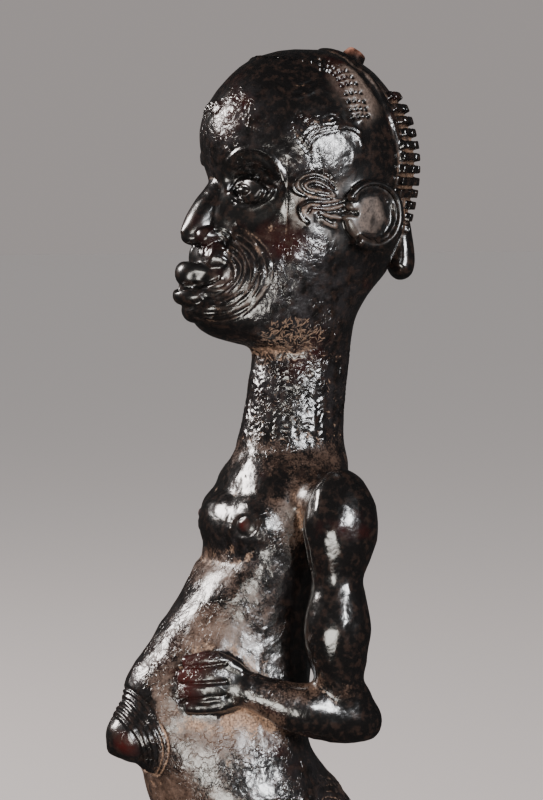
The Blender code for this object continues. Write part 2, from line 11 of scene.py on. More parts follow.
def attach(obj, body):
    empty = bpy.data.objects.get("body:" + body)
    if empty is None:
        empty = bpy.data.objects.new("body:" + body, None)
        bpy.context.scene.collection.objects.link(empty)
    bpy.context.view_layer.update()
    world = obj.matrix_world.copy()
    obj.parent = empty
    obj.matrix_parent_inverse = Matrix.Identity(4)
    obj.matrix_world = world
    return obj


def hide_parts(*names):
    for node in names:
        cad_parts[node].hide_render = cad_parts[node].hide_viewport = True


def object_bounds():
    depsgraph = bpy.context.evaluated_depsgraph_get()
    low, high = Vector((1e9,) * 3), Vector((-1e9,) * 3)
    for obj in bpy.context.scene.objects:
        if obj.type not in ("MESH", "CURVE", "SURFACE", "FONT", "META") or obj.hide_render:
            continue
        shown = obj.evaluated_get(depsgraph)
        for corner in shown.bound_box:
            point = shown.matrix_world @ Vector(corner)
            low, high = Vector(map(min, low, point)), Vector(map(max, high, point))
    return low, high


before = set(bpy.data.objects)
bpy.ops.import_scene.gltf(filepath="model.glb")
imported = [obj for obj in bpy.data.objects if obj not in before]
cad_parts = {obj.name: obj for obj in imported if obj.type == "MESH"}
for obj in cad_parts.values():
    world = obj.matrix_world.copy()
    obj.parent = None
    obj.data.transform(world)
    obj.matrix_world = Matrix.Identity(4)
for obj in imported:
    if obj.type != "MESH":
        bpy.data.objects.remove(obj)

cadLow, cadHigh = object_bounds()

# The figure faces -Y and its left side is +X. Its forms are written in carver's units,
# of which its height has 384, with heights counted up from the soles.
sizes = {
    "figureHeight": 0.384,
    "baseThickness": 0.016,
    "baseWidth": 0.092,
    "baseDepth": 0.100,
    "baseEdge": 0.0025,
    "baseSides": 96,
}
unit = sizes["figureHeight"] / 384

# Where the photograph was taken from, and its frame in pixels
photoView = {
    "azimuth": 66,
    "elevation": 4,
    "distance": 1.0,
    "lens": 120,
    "longSide": 36,
    "aimHeight": 0.26875,
    "aimAside": 0.0024375,
    "width": 543,
    "height": 800,
    "nearest": 0.05,
    "farthest": 50,
}


def cameraAxes():
    a = math.radians(photoView["azimuth"])
    e = math.radians(photoView["elevation"])
    back = Vector((math.sin(a) * math.cos(e), -math.cos(a) * math.cos(e), math.sin(e)))
    right = Vector((math.cos(a), math.sin(a), 0))
    up = back.cross(right)
    aim = Vector((0, 0, photoView["aimHeight"])) + right * photoView["aimAside"]
    return back, right, up, aim + back * photoView["distance"]


def placeCamera():
    back, right, up, eye = cameraAxes()
    bpy.ops.object.camera_add(location=eye)
    camera = bpy.context.object
    camera.name = "photoCamera"
    camera.rotation_euler = (-back).to_track_quat("-Z", "Y").to_euler()
    camera.data.lens = photoView["lens"]
    camera.data.sensor_width = photoView["longSide"]
    camera.data.clip_start = photoView["nearest"]
    camera.data.clip_end = photoView["farthest"]
    bpy.context.scene.camera = camera


# Working habits: nothing stays selected, and a finished form has no modifiers left

def clearSelection():
    bpy.ops.object.select_all(action="DESELECT")


def pick(piece):
    clearSelection()
    piece.select_set(True)
    bpy.context.view_layer.objects.active = piece


def settled():
    # the piece just added, its place and size taken into its points
    bpy.ops.object.transform_apply(location=True, rotation=True, scale=True)
    return bpy.context.object


def joined(pieces):
    clearSelection()
    for piece in pieces:
        piece.select_set(True)
    bpy.context.view_layer.objects.active = pieces[0]
    if len(pieces) > 1:
        bpy.ops.object.join()
    return bpy.context.view_layer.objects.active


def applyModifiers(piece):
    pick(piece)
    for modifier in list(piece.modifiers):
        bpy.ops.object.modifier_apply(modifier=modifier.name)


def spot(x, y, z):
    return Vector((x * unit, y * unit, sizes["baseThickness"] + z * unit))


def between(a, b, c, d, t):
    # Catmull-Rom value between b and c
    square = 2 * a - 5 * b + 4 * c - d
    cube = 3 * b - a - 3 * c + d
    return 0.5 * (2 * b + (c - a) * t + square * t * t + cube * t ** 3)


def smoothRows(rows, steps):
    found = []
    last = len(rows) - 1
    for i in range(last):
        around = [rows[max(i - 1, 0)], rows[i], rows[i + 1], rows[min(i + 2, last)]]
        for k in range(steps):
            found.append([between(*column, k / steps) for column in zip(*around)])
    found.append(list(rows[last]))
    return found


forms = {"left": [], "middle": []}  # left forms are mirrored before all are fused


def keepForm(piece, name, side):
    piece.name = name
    forms[side].append(piece)
    return piece


def addLoft(name, rings, side="middle"):
    # a capped circle, extruded ring by ring
    count = len(rings[0])
    clearSelection()
    bpy.ops.mesh.primitive_circle_add(vertices=count, radius=1, fill_type="NGON")
    piece = bpy.context.object
    bpy.ops.object.mode_set(mode="EDIT")
    placed = None
    for ring in rings:
        if placed is not None:
            bpy.ops.mesh.extrude_region_move(TRANSFORM_OT_translate={"value": (0, 0, 0)})
        mesh = bmesh.from_edit_mesh(piece.data)
        cap = next(face for face in mesh.faces if face.select)
        corners = list(cap.verts)
        if placed is not None:
            first = min(range(count), key=lambda k: (corners[k].co - placed[0]).length_squared)
            corners = corners[first:] + corners[:first]
            if (corners[1].co - placed[1]).length > (corners[-1].co - placed[1]).length:
                corners = [corners[0]] + corners[:0:-1]
        for corner, point in zip(corners, ring):
            corner.co = point
        placed = ring
        bmesh.update_edit_mesh(piece.data)
    bpy.ops.mesh.select_all(action="SELECT")
    bpy.ops.mesh.normals_make_consistent(inside=False)
    bpy.ops.object.mode_set(mode="OBJECT")
    return keepForm(piece, name, side)


def signedPower(value, power):
    return math.copysign(abs(value) ** power, value)


def addStack(name, sections, steps=4, sides=48):
    # level sections: z, front y, widest y, back y, half width, fullness of the front
    rings = []
    for z, front, widest, back, halfWidth, fullness in smoothRows(sections, steps):
        ring = []
        for i in range(sides):
            angle = 2 * math.pi * i / sides
            across, along = math.cos(angle), math.sin(angle)
            power = 2 / fullness if along < 0 else 1
            reach = widest - front if along < 0 else back - widest
            x = halfWidth * signedPower(across, power)
            ring.append(spot(x, widest + reach * signedPower(along, power), z))
        rings.append(ring)
    return addLoft(name, rings)


def addLimb(name, stations, side="left", steps=4, sides=24, spread=(1, 0, 0)):
    # stations: x, y, z, radius along spread, radius square to it
    wide = Vector(spread)
    rows = smoothRows(stations, steps)
    centres = [Vector(row[:3]) for row in rows]
    rings = []
    for i, row in enumerate(rows):
        along = (centres[min(i + 1, len(rows) - 1)] - centres[max(i - 1, 0)]).normalized()
        across = (wide - along * along.dot(wide)).normalized() * row[3]
        square = along.cross(across).normalized() * row[4]
        angles = [2 * math.pi * k / sides for k in range(sides)]
        rings.append([spot(*(centres[i] + across * math.cos(a) + square * math.sin(a))) for a in angles])
    return addLoft(name, rings, side)


def addBall(name, centre, radii, side="left", turn=(0, 0, 0)):
    clearSelection()
    bpy.ops.mesh.primitive_uv_sphere_add(
        segments=32,
        ring_count=20,
        radius=1,
        location=spot(*centre),
        rotation=[math.radians(angle) for angle in turn],
        scale=[radius * unit for radius in radii],
    )
    return keepForm(settled(), name, side)


def joinForms(name):
    # left forms are mirrored, then everything becomes one mesh
    for side in ("left", "middle"):
        if not forms[side]:
            continue
        whole = joined(forms[side])
        if side == "left":
            mirror = whole.modifiers.new("otherSide", "MIRROR")
            mirror.use_mirror_merge = False
            applyModifiers(whole)
            forms["middle"].append(whole)
        forms[side] = [] if side == "left" else [whole]
    whole = forms["middle"][0]
    forms["middle"] = []
    whole.name = name
    return whole


def fuse(piece, voxel, smoothing):
    # overlapping forms grown into one skin, with the seams softened
    remesh = piece.modifiers.new("oneSkin", "REMESH")
    remesh.mode = "VOXEL"
    remesh.voxel_size = voxel * unit
    soften = piece.modifiers.new("soften", "SMOOTH")
    soften.factor = 0.5
    soften.iterations = smoothing
    applyModifiers(piece)
    return piece


def readRows(rows, name):
    # three numbers a row
    found = np.zeros(len(rows) * 3, np.float32)
    rows.foreach_get(name, found)
    return found.reshape(-1, 3).astype(float)


def readPoints(mesh):
    return readRows(mesh.vertices, "co")


def readNormals(mesh):
    return readRows(mesh.vertex_normals, "vector")


def heights(points):
    # in carver's units, from the soles
    return (points[:, 2] - sizes["baseThickness"]) / unit


def writePoints(mesh, points):
    mesh.vertices.foreach_set("co", points.astype(np.float32).ravel())
    mesh.update()


# The trunk, its sections running from the crotch to the root of the neck
trunk = {
    "sections": (
        (80, -16, -4, 14, 16, 2.0),
        (86, -30, -4, 24, 26, 2.0),
        (94, -39, -5, 29, 32, 2.0),
        (102, -44, -6, 30, 35, 2.1),
        (109, -46, -7, 26, 35.5, 2.2),
        (114, -47, -8, 21, 34, 2.2),
        (118, -51, -8, 18, 33, 2.0),
        (123, -56, -8, 15, 32, 1.8),
        (129, -58, -8, 13, 31, 1.8),
        (137, -58, -7, 14, 29, 1.8),
        (146, -57, -6, 15, 27, 1.9),
        (153, -54, -5, 16, 25.5, 2.0),
        (162, -47, -5, 17.5, 24.5, 2.0),
        (171, -40, -4, 18, 24, 2.0),
        (180, -33, -3, 21, 24.5, 2.1),
        (189, -26.5, -1, 25, 26, 2.2),
        (198, -21.5, 0, 28, 27, 2.3),
        (208, -18, 2, 30, 28, 2.4),
        (217, -16.5, 4, 31, 28, 2.3),
        (224, -15.5, 6, 32, 26, 2.2),
        (230, -12, 8, 32, 23, 2.1),
        (236, -9, 10, 31, 18, 2.0),
    ),
    "shoulders": (
        (-38, 12, 214, 8, 10),
        (-26, 11, 217, 10, 11),
        (0, 10, 220, 13, 13),
        (26, 11, 217, 10, 11),
        (38, 12, 214, 8, 10),
    ),
    "breast": ((13.5, -8, 206.5), (13.5, 12.5, 15)),
    "chest": ((0, -9.5, 206), (20, 15.5, 15.5)),
    "buttock": ((17, 9.5, 92), (19, 20, 20)),
    "navelSwelling": ((0, -45, 132), (18, 14, 14), (15, 0, 0)),
    "nipple": ((19.3, -16.6, 208.9), (2.6, 2.6, 2.6)),
}


def addTrunk():
    addStack("trunk", trunk["sections"])
    addLimb("shoulders", trunk["shoulders"], "middle", spread=(0, 0, 1))
    addBall("breast", *trunk["breast"])
    addBall("chest", *trunk["chest"], "middle")
    addBall("buttock", *trunk["buttock"])
    centre, radii, turn = trunk["navelSwelling"]
    addBall("navelSwelling", centre, radii, "middle", turn)


# The neck and the head, from inside the chest to the crown
head = {
    "sections": (
        (224, -11, 10.5, 31, 20, 2.0),
        (234, -10, 10.4, 31, 19.2, 2.0),
        (245, -8, 11.7, 31, 18.4, 2.0),
        (256, -6, 12.8, 32, 17.8, 2.0),
        (267, -4.2, 14.3, 33.3, 17.8, 2.0),
        (272.5, -5, 14.5, 33.6, 18.4, 2.0),
        (275.5, -17, 12, 34, 20, 2.0),
        (279.5, -25, 10, 34.4, 22, 2.0),
        (283, -28.3, 9, 35.2, 23.5, 2.0),
        (287, -29.5, 9, 37, 25, 2.0),
        (293, -29, 10, 41, 26.5, 2.0),
        (299.5, -27, 11, 47, 28.5, 2.0),
        (306.5, -24, 13, 51, 30, 2.0),
        (313, -21.6, 15, 53.5, 30.8, 2.0),
        (320, -20.4, 17, 55.5, 31.5, 2.0),
        (326.5, -20.2, 18, 57, 32.5, 2.0),
        (333.5, -21, 19, 58, 33.5, 2.0),
        (340, -22.4, 20, 58.4, 34, 2.0),
        (347, -23.8, 20, 57.8, 34, 2.1),
        (353.5, -23.9, 20, 56.2, 33.2, 2.1),
        (360.5, -22.3, 20, 54, 31.2, 2.1),
        (367, -18.4, 19, 50, 28, 2.1),
        (373.5, -13.0, 18, 44.5, 23.6, 2.0),
        (378, -7.5, 17, 39, 19, 2.0),
        (381.5, 0, 16, 32, 13, 2.0),
        (383.5, 8, 15, 24, 7, 2.0),
    ),
    "noseRoot": ((0, -19, 321.5), (11.5, 6, 12.5), (-14, 0, 0)),
    "dents": (  # x, y, z, radius, depth
        (18, -14, 333, 11.5, 3.6),
        (12, -18, 334, 7, 1.6),
        (24, -8, 333, 7, 1.5),
        (24, -10, 317, 14, 1.8),
    ),
}


def pressDents(skin, dents):
    points = readPoints(skin.data)
    for x, y, z, radius, depth in dents:
        for side in (1, -1):
            found, middle, normal, index = skin.closest_point_on_mesh(spot(side * x, y, z))
            share = np.linalg.norm(points - np.array(middle), axis=1) / (radius * unit)
            push = np.clip(1 - share * share, 0, None) ** 2 * depth * unit
            points -= push[:, None] * np.array(normal)
    writePoints(skin.data, points)


arms = {
    "upperArm": (
        (36, 10, 227, 5, 6),
        (38.5, 11, 223, 9.6, 10.4),
        (40.5, 11.8, 216, 12.4, 13.2),
        (41.5, 11.6, 208, 13.0, 14.2),
        (41.5, 11, 198, 11.4, 12.2),
        (41.5, 10.5, 190, 9.2, 9.5),
        (42, 10.3, 182, 10.6, 11.0),
        (42.5, 10.0, 172, 12.2, 12.8),
        (42, 10.3, 162, 10.8, 11.2),
        (41.5, 12, 151, 8.4, 8.6),
        (41, 14.5, 145, 8.6, 9.4),
        (41, 17, 137, 8.6, 9.0),
        (41, 19, 132, 4, 5),
    ),
    "forearm": (
        (42, 27, 134.5, 2.2, 3),
        (42, 24, 135.5, 6.2, 6.6),
        (41, 18, 138, 9.0, 10.0),
        (39.5, 8, 140, 9.2, 10.2),
        (37.5, -3, 142.5, 8.4, 9.6),
        (34.5, -12, 146, 6.8, 7.8),
        (31.5, -19, 149, 5.8, 6.8),
        (29, -24, 151, 5.0, 7.6),
    ),
    "hand": ((25, -29.5, 151.8), (6.5, 12.5, 10.6), (0, 0, -28)),
    "fingers": (
        ((30.5, -23, 156), (28, -30, 160.4), (24.5, -36, 160.6), (20.5, -41.3, 159)),
        ((31, -23, 153.5), (27.5, -31, 155.4), (24, -37, 155.2), (19.8, -43, 153.8)),
        ((31, -23, 150), (27.5, -31, 149.8), (24, -37, 149.2), (19.8, -43, 148.6)),
        ((30.5, -23, 147), (28, -30, 144.4), (24.5, -35.5, 143.4), (21, -40.5, 143.4)),
    ),
    "fingerRadius": 2.8,
    "fingerPad": ((25, -34, 151.6), (5, 11, 9.5), (0, 0, -32)),
    "rightHandDrop": 8,
}


def handPlaces():
    # side and drop of each hand: the right one lies a little lower on the belly
    return ((1, 0), (-1, arms["rightHandDrop"]))


def addArms():
    addLimb("upperArm", arms["upperArm"])
    last = len(arms["forearm"]) - 1
    centre, radii, turn = arms["hand"]
    for side, drop in handPlaces():
        stations = [(side * x, y, z - drop * k / last, wide, deep)
                    for k, (x, y, z, wide, deep) in enumerate(arms["forearm"])]
        addLimb("forearm", stations, "middle")
        lowered = (side * centre[0], centre[1], centre[2] - drop)
        addBall("hand", lowered, radii, "middle", (0, 0, side * turn[2]))


def addFingers():
    radius = arms["fingerRadius"]
    centre, radii, turn = arms["fingerPad"]
    for side, drop in handPlaces():
        lowered = (side * centre[0], centre[1], centre[2] - drop)
        addBall("fingerPad", lowered, radii, "middle", (0, 0, side * turn[2]))
        for finger in arms["fingers"]:
            stations = [(side * x, y, z - drop, radius, radius) for x, y, z in finger]
            addLimb("finger", stations, "middle", 4, 16, (0, 0, 1))


legs = {
    "thigh": (
        (19, 6, 104, 14, 16),
        (19.5, -2, 92, 18, 22),
        (20, -12, 76, 17, 19),
        (20, -20, 62, 14.5, 15),
        (20, -23, 53, 12.8, 12.5),
        (20, -19, 45, 11.5, 11.5),
    ),
    "calf": (
        (20, -21, 56, 10, 10),
        (20, -17, 46, 11.5, 11.5),
        (20, -7, 35, 13, 14),
        (20, -1, 25, 11.5, 12.5),
        (20, 2, 15, 9.0, 9.5),
        (20, 3, 8, 9.0, 10),
        (20, 3, 1, 9.5, 10.5),
    ),
    "foot": (
        (20, 17, 3, 4, 4),
        (20, 14, 4, 8, 7),
        (20, 5, 4.5, 9.5, 8),
        (20.5, -8, 3.5, 10, 7.5),
        (21, -20, 3, 11, 6),
        (21, -29, 2.5, 11, 4.6),
        (21, -33, 2, 8, 3),
    ),
    "toe": ((-24, 2.5, 2.1, 2.4), (-31, 2.6, 2.0, 2.4), (-35, 1.8, 1.6, 2.0)),
    "toeReach": (2.5, 2, 1.2, 0, -1.5),
    "toePitch": 3.7,
    "innerToe": 13.4,
}


def addLegs():
    for name in ("thigh", "calf", "foot"):
        addLimb(name, legs[name])


def addToes():
    # the big toe innermost, each toe reaching forward by its own share
    for k, reach in enumerate(legs["toeReach"]):
        x = legs["innerToe"] + legs["toePitch"] * k
        toe = [(x, y - reach * share, z, wide, deep)
               for share, (y, z, wide, deep) in zip((0, 0.5, 1), legs["toe"])]
        addLimb("toe", toe, "left", 3, 14)


face = {
    "balls": (  # name, centre, radii, side, turn
        ("noseTip", (0, -29, 314), (4.2, 4.6, 3.2), "middle"),
        ("noseWing", (5.2, -25.2, 314.3), (3.6, 4.6, 3.6)),
        ("upperLipPad", (0, -20.5, 306), (13, 8.5, 8), "middle"),
        ("mouthMass", (0, -20, 296.5), (14.5, 11.5, 10), "middle"),
        ("chin", (0, -22.5, 288.5), (12.5, 9, 7), "middle", (-25, 0, 0)),
    ),
    "eye": ((18.3, -11.6, 331), (7.6, 4.0, 4.3), "left", (0, 0, 38)),
    "nose": (
        (0, -15, 340, 4, 4),
        (0, -18.4, 331.5, 6, 4.6),
        (0, -22.8, 324, 6.4, 6.0),
        (0, -27.6, 318.4, 5.8, 5.2),
        (0, -31.2, 315.8, 3.8, 3.2),
        (0, -33.4, 314.8, 1.4, 1.4),
    ),
    "upperLip": (
        (9.5, -20.5, 298.4, 1.6, 1.4),
        (7, -26.2, 299.8, 3.2, 2.4),
        (3.8, -30.8, 300.4, 4.4, 3.2),
        (0, -32.2, 300.3, 4.6, 3.6),
    ),
    "lowerLip": (
        (9, -21.5, 295.4, 1.2, 1.2),
        (6.6, -27.4, 293.2, 2.6, 2.8),
        (3.6, -31.6, 292.4, 3.4, 3.4),
        (0, -33.2, 292.4, 3.6, 3.6),
    ),
    "underLip": (
        (11, -20.5, 288.5, 2, 2),
        (8, -24.5, 287.6, 3.6, 3.4),
        (4, -27.6, 287, 4.6, 4.2),
        (0, -28.2, 286.8, 4.8, 4.4),
    ),
}


def wholeLip(half):
    other = [(-x, y, z, tall, deep) for x, y, z, tall, deep in reversed(half[:-1])]
    return (*half, *other)


def addFace():
    addLimb("nose", face["nose"], "middle")
    for ball in face["balls"]:
        addBall(*ball)
    for name in ("upperLip", "lowerLip", "underLip"):
        addLimb(name, wholeLip(face[name]), "middle", spread=(0, 0, 1))
    addBall("eye", *face["eye"])


ear = {
    "centre": (31.5, 27.7, 322),
    "radius": 11,
    "thickness": 4.6,
    "turn": 12,
    "rimRadius": 2.1,
    "rimStand": 3.6,
    "flare": 1.2,
    "rimStart": 150,
    "rimSweep": 275,
    "cutStand": 6,
    "cuts": (
        {"start": 158, "sweep": 128, "steps": 12, "reach": 8.3, "half": 1.5, "rise": -2.2},
        {"start": 30, "sweep": 110, "steps": 10, "reach": 8.6, "half": 1.0, "rise": -0.9},
    ),
    "dish": (8.5, 1.3),
    "hole": ((344, 211), (356, 212.8)),
    "holeCut": (1.4, -1.9),
}


def earPoint(degrees, reach, stand):
    # a place on the ear, by its angle from the back and its distance from the centre
    x, y, z = ear["centre"]
    back, up = math.cos(math.radians(degrees)), math.sin(math.radians(degrees))
    return (x + stand - ear["flare"] * back, y + reach * back, z + reach * up)


def addEar():
    plate = (ear["thickness"], ear["radius"], ear["radius"])
    addBall("earPlate", ear["centre"], plate, "left", (0, 0, ear["turn"]))
    rim = []
    steps = 10
    for k in range(steps + 1):
        place = earPoint(ear["rimStart"] - ear["rimSweep"] * k / steps, ear["radius"], ear["rimStand"])
        rim.append((*place, ear["rimRadius"], ear["rimRadius"]))
    addLimb("earRim", rim, "left", 3, 16)


hair = {
    "rows": 12,
    "rowPitch": 4.4,
    "lowestRow": 317,
    "spreads": (24, 32, 40),
    "fullSpread": 52,
    "knob": (1.35, 2.7, 1.5),
    "knobPitch": 3.7,
    "axisY": 20,
    "crest": (
        (0, 24, 383),
        (10, 27, 381.5),
        (18.5, 31, 375),
        (24.5, 36.5, 368),
        (28, 40, 358),
        (28.5, 43, 347),
        (27, 46, 339),
    ),
    "crestRadius": 3.0,
    "crestSunk": 0.55,
    "hairline": (
        (0, -3, 381),
        (8, -2, 380.5),
        (17, 8, 378.5),
        (21, 19, 376),
        (27.5, 23, 368),
        (31.5, 24, 360),
        (32.6, 24.5, 356),
    ),
    "bandStart": 18.5,
    "pitColumns": 4,
    "pitRowPitch": 2.7,
    "pitPitch": 2.3,
    "pitRadius": 1.25,
    "pitDepth": 1.6,
    "hairlineRadius": 2.6,
    "hairlineSunk": 0.7,
    "lock": (
        (0, 52, 325, 4, 3),
        (0, 55.5, 320, 5, 4),
        (0, 56.6, 312, 5.4, 4.6),
        (0, 56.8, 305, 6.2, 5.2),
        (0, 55.5, 301.5, 6.2, 5.4),
        (0, 53.5, 299.5, 3, 3),
    ),
    "brokenCrest": ((0, 33, 377, 5, 5), (0, 36, 380.5, 4.4, 4.6), (0, 38, 383, 3.6, 3.8)),
}


def skinPoint(skin, x, y, z):
    found, point, normal, index = skin.closest_point_on_mesh(spot(x, y, z))
    return point, normal


def addRidge(name, skin, points, radius, sunk):
    # a round bead laid along the skin and partly sunk in it
    line = bpy.data.curves.new(name, "CURVE")
    line.dimensions = "3D"
    line.bevel_depth = radius * unit
    line.bevel_resolution = 3
    line.use_fill_caps = True
    path = line.splines.new("POLY")
    laid = [skinPoint(skin, *row) for row in smoothRows(points, 4)]
    path.points.add(len(laid) - 1)
    for place, (point, normal) in zip(path.points, laid):
        place.co = (*(point - normal * radius * sunk * unit), 1)
    piece = bpy.data.objects.new(name, line)
    bpy.context.scene.collection.objects.link(piece)
    pick(piece)
    bpy.ops.object.convert(target="MESH")
    bpy.ops.object.mode_set(mode="EDIT")
    bpy.ops.mesh.select_all(action="SELECT")
    bpy.ops.mesh.remove_doubles(threshold=0.0001 * unit)
    bpy.ops.mesh.normals_make_consistent(inside=False)
    bpy.ops.object.mode_set(mode="OBJECT")
    return keepForm(bpy.context.object, name, "left")


def outsidePoint(skin, angle, z):
    outward = Vector((math.sin(angle), math.cos(angle), 0))
    start = spot(0, hair["axisY"], z) + outward * sizes["figureHeight"]
    found, point, normal, index = skin.ray_cast(start, -outward)
    return point, normal


def addKnob(point, normal):
    # one cut knob of hair, a block turned to face out from the skin
    clearSelection()
    turn = normal.to_track_quat("Y", "Z")
    bpy.ops.mesh.primitive_cube_add(size=2, location=point, rotation=turn.to_euler())
    bpy.context.object.scale = [half * unit for half in hair["knob"]]
    return keepForm(settled(), "hairKnob", "middle")


def addHair(skin):
    addRidge("crest", skin, hair["crest"], hair["crestRadius"], hair["crestSunk"])
    addRidge("hairline", skin, hair["hairline"], hair["hairlineRadius"], hair["hairlineSunk"])
    for row in range(hair["rows"]):
        z = hair["lowestRow"] + row * hair["rowPitch"]
        spreads = hair["spreads"]
        degrees = spreads[row] if row < len(spreads) else hair["fullSpread"]
        reach = outsidePoint(skin, 0, z)[0].y / unit - hair["axisY"]
        eachSide = int(math.radians(degrees) * reach / hair["knobPitch"])
        for k in range(-eachSide, eachSide + 1):
            addKnob(*outsidePoint(skin, k * hair["knobPitch"] / reach, z))
    addLimb("lock", hair["lock"], "middle")
    addLimb("brokenCrest", hair["brokenCrest"], "middle", 3, 14)


navel = (
    (0, -46, 134, 14.5, 15),
    (0, -51.5, 131, 13, 13),
    (0, -56, 128.7, 10.5, 10.2),
    (0, -59.5, 127, 7.6, 7.4),
    (0, -62, 125.6, 3.6, 3.4),
    (0, -63.2, 125, 1, 1),
)


def addBase():
    clearSelection()
    bpy.ops.mesh.primitive_cylinder_add(
        vertices=sizes["baseSides"],
        radius=0.5,
        depth=1,
        location=(0, 0, sizes["baseThickness"] / 2),
        scale=(sizes["baseWidth"], sizes["baseDepth"], sizes["baseThickness"]),
    )
    drum = settled()
    edge = drum.modifiers.new("edge", "BEVEL")
    edge.width = sizes["baseEdge"]
    edge.segments = 3
    edge.limit_method = "ANGLE"
    applyModifiers(drum)
    keepForm(drum, "baseDrum", "middle")


grain = {
    "massVoxel": 1.5,
    "massSmoothing": 8,
    "fineVoxel": 0.56,
    "fineSmoothing": 2,
    "triangles": 190000,
    "flatBelow": 0.0004,
}


def buildSkin():
    addTrunk()
    addStack("headAndNeck", head["sections"])
    centre, radii, turn = head["noseRoot"]
    addBall("noseRoot", centre, radii, "middle", turn)
    addArms()
    addLegs()
    skin = fuse(joinForms("masses"), grain["massVoxel"], grain["massSmoothing"])
    pressDents(skin, head["dents"])
    print("masses:", len(skin.data.polygons), "faces")
    addFace()
    addEar()
    addHair(skin)
    addFingers()
    addToes()
    addLimb("navel", navel, "middle")
    addBall("nipple", *trunk["nipple"])
    addBase()
    smoother = skin.modifiers.new("smoother", "SUBSURF")
    smoother.levels = smoother.render_levels = 1
    applyModifiers(skin)
    keepForm(skin, "masses", "middle")
    skin = fuse(joinForms("carvedFigure"), grain["fineVoxel"], grain["fineSmoothing"])
    print("one skin:", len(skin.data.polygons), "faces")
    return skin


# Surface carving. Every cut or raised line is laid on the skin first, and the skin is then
# pushed in or out near it. Lines on the side that the photograph shows are given by its pixels.

def pixelPoint(skin, across, down):
    back, right, up, eye = cameraAxes()
    focal = photoView["lens"] / photoView["longSide"] * photoView["height"]
    way = -back + right * (across - photoView["width"] / 2) / focal
    way -= up * (down - photoView["height"] / 2) / focal
    found, point, normal, index = skin.ray_cast(eye, way.normalized())
    return point if found else None


def pixelLine(skin, pixels):
    found = [pixelPoint(skin, *place) for place in smoothRows(pixels, 5)]
    return [point for point in found if point is not None]


def straightPixels(skin, start, end, steps=6):
    pixels = [[a + (b - a) * k / steps for a, b in zip(start, end)] for k in range(steps + 1)]
    found = [pixelPoint(skin, *place) for place in pixels]
    return [point for point in found if point is not None]


waviness = 4.3  # waves to a radian, in the scars that are not quite round


def arcPixels(centre, radii, start, end, count=9, wave=0, phase=0):
    # part of an ellipse in the photograph, its angles from the right and turning down
    found = []
    for k in range(count):
        angle = math.radians(start + (end - start) * k / (count - 1))
        reach = 1 + wave * math.sin(waviness * angle + phase)
        found.append((centre[0] + radii[0] * reach * math.cos(angle),
                      centre[1] + radii[1] * reach * math.sin(angle)))
    return found


def closely(line, pitch=0.0003, widestGap=0.006):
    # marks at an even pitch, none where the line jumps from one form to another
    found = []
    for start, end in zip(line, line[1:]):
        if (end - start).length > widestGap:
            continue
        steps = max(1, int((end - start).length / pitch))
        found += [start.lerp(end, k / steps) for k in range(steps)]
    return found + line[-1:]


strokeReach = 1.6  # how far a stroke is felt, in its half widths
strokeFall = 1.6  # how steeply it dies away


class Carving:
    # the pushes gathered so far for each point of the skin
    def __init__(self, skin):
        self.skin = skin
        self.points = readPoints(skin.data)
        self.normals = readNormals(skin.data)
        self.push = np.zeros(len(self.points))

    def near(self, marks, reach):
        # the skin's points within reach of the marks, and how far each is
        places = np.array([list(mark) for mark in marks])
        low, high = places.min(0) - reach, places.max(0) + reach
        inside = np.all((self.points > low) & (self.points < high), axis=1)
        chosen = np.nonzero(inside)[0]
        tree = KDTree(len(marks))
        for i, mark in enumerate(marks):
            tree.insert(mark, i)
        tree.balance()
        away = np.array([tree.find(self.points[i])[2] for i in chosen])
        if not len(chosen):
            return chosen, away
        close = away < reach
        return chosen[close], away[close]

    def lines(self, lines, half, rise, mirrored=True):
        marks = [point for line in lines if len(line) > 1 for point in closely(line)]
        if not marks:
            return
        if mirrored:
            marks += [Vector((-mark.x, mark.y, mark.z)) for mark in marks]
        chosen, away = self.near(marks, half * strokeReach * unit)
        share = away / (half * unit)
        self.push[chosen] += rise * unit * np.exp(-(share ** 2) * strokeFall)

    def pits(self, marks, radius, depth, mirrored=True):
        if mirrored:
            marks = marks + [Vector((-mark.x, mark.y, mark.z)) for mark in marks]
        chosen, away = self.near(marks, radius * unit)
        self.push[chosen] -= depth * unit * (1 - (away / (radius * unit)) ** 2)

    def finish(self):
        writePoints(self.skin.data, self.points + self.normals * self.push[:, None])


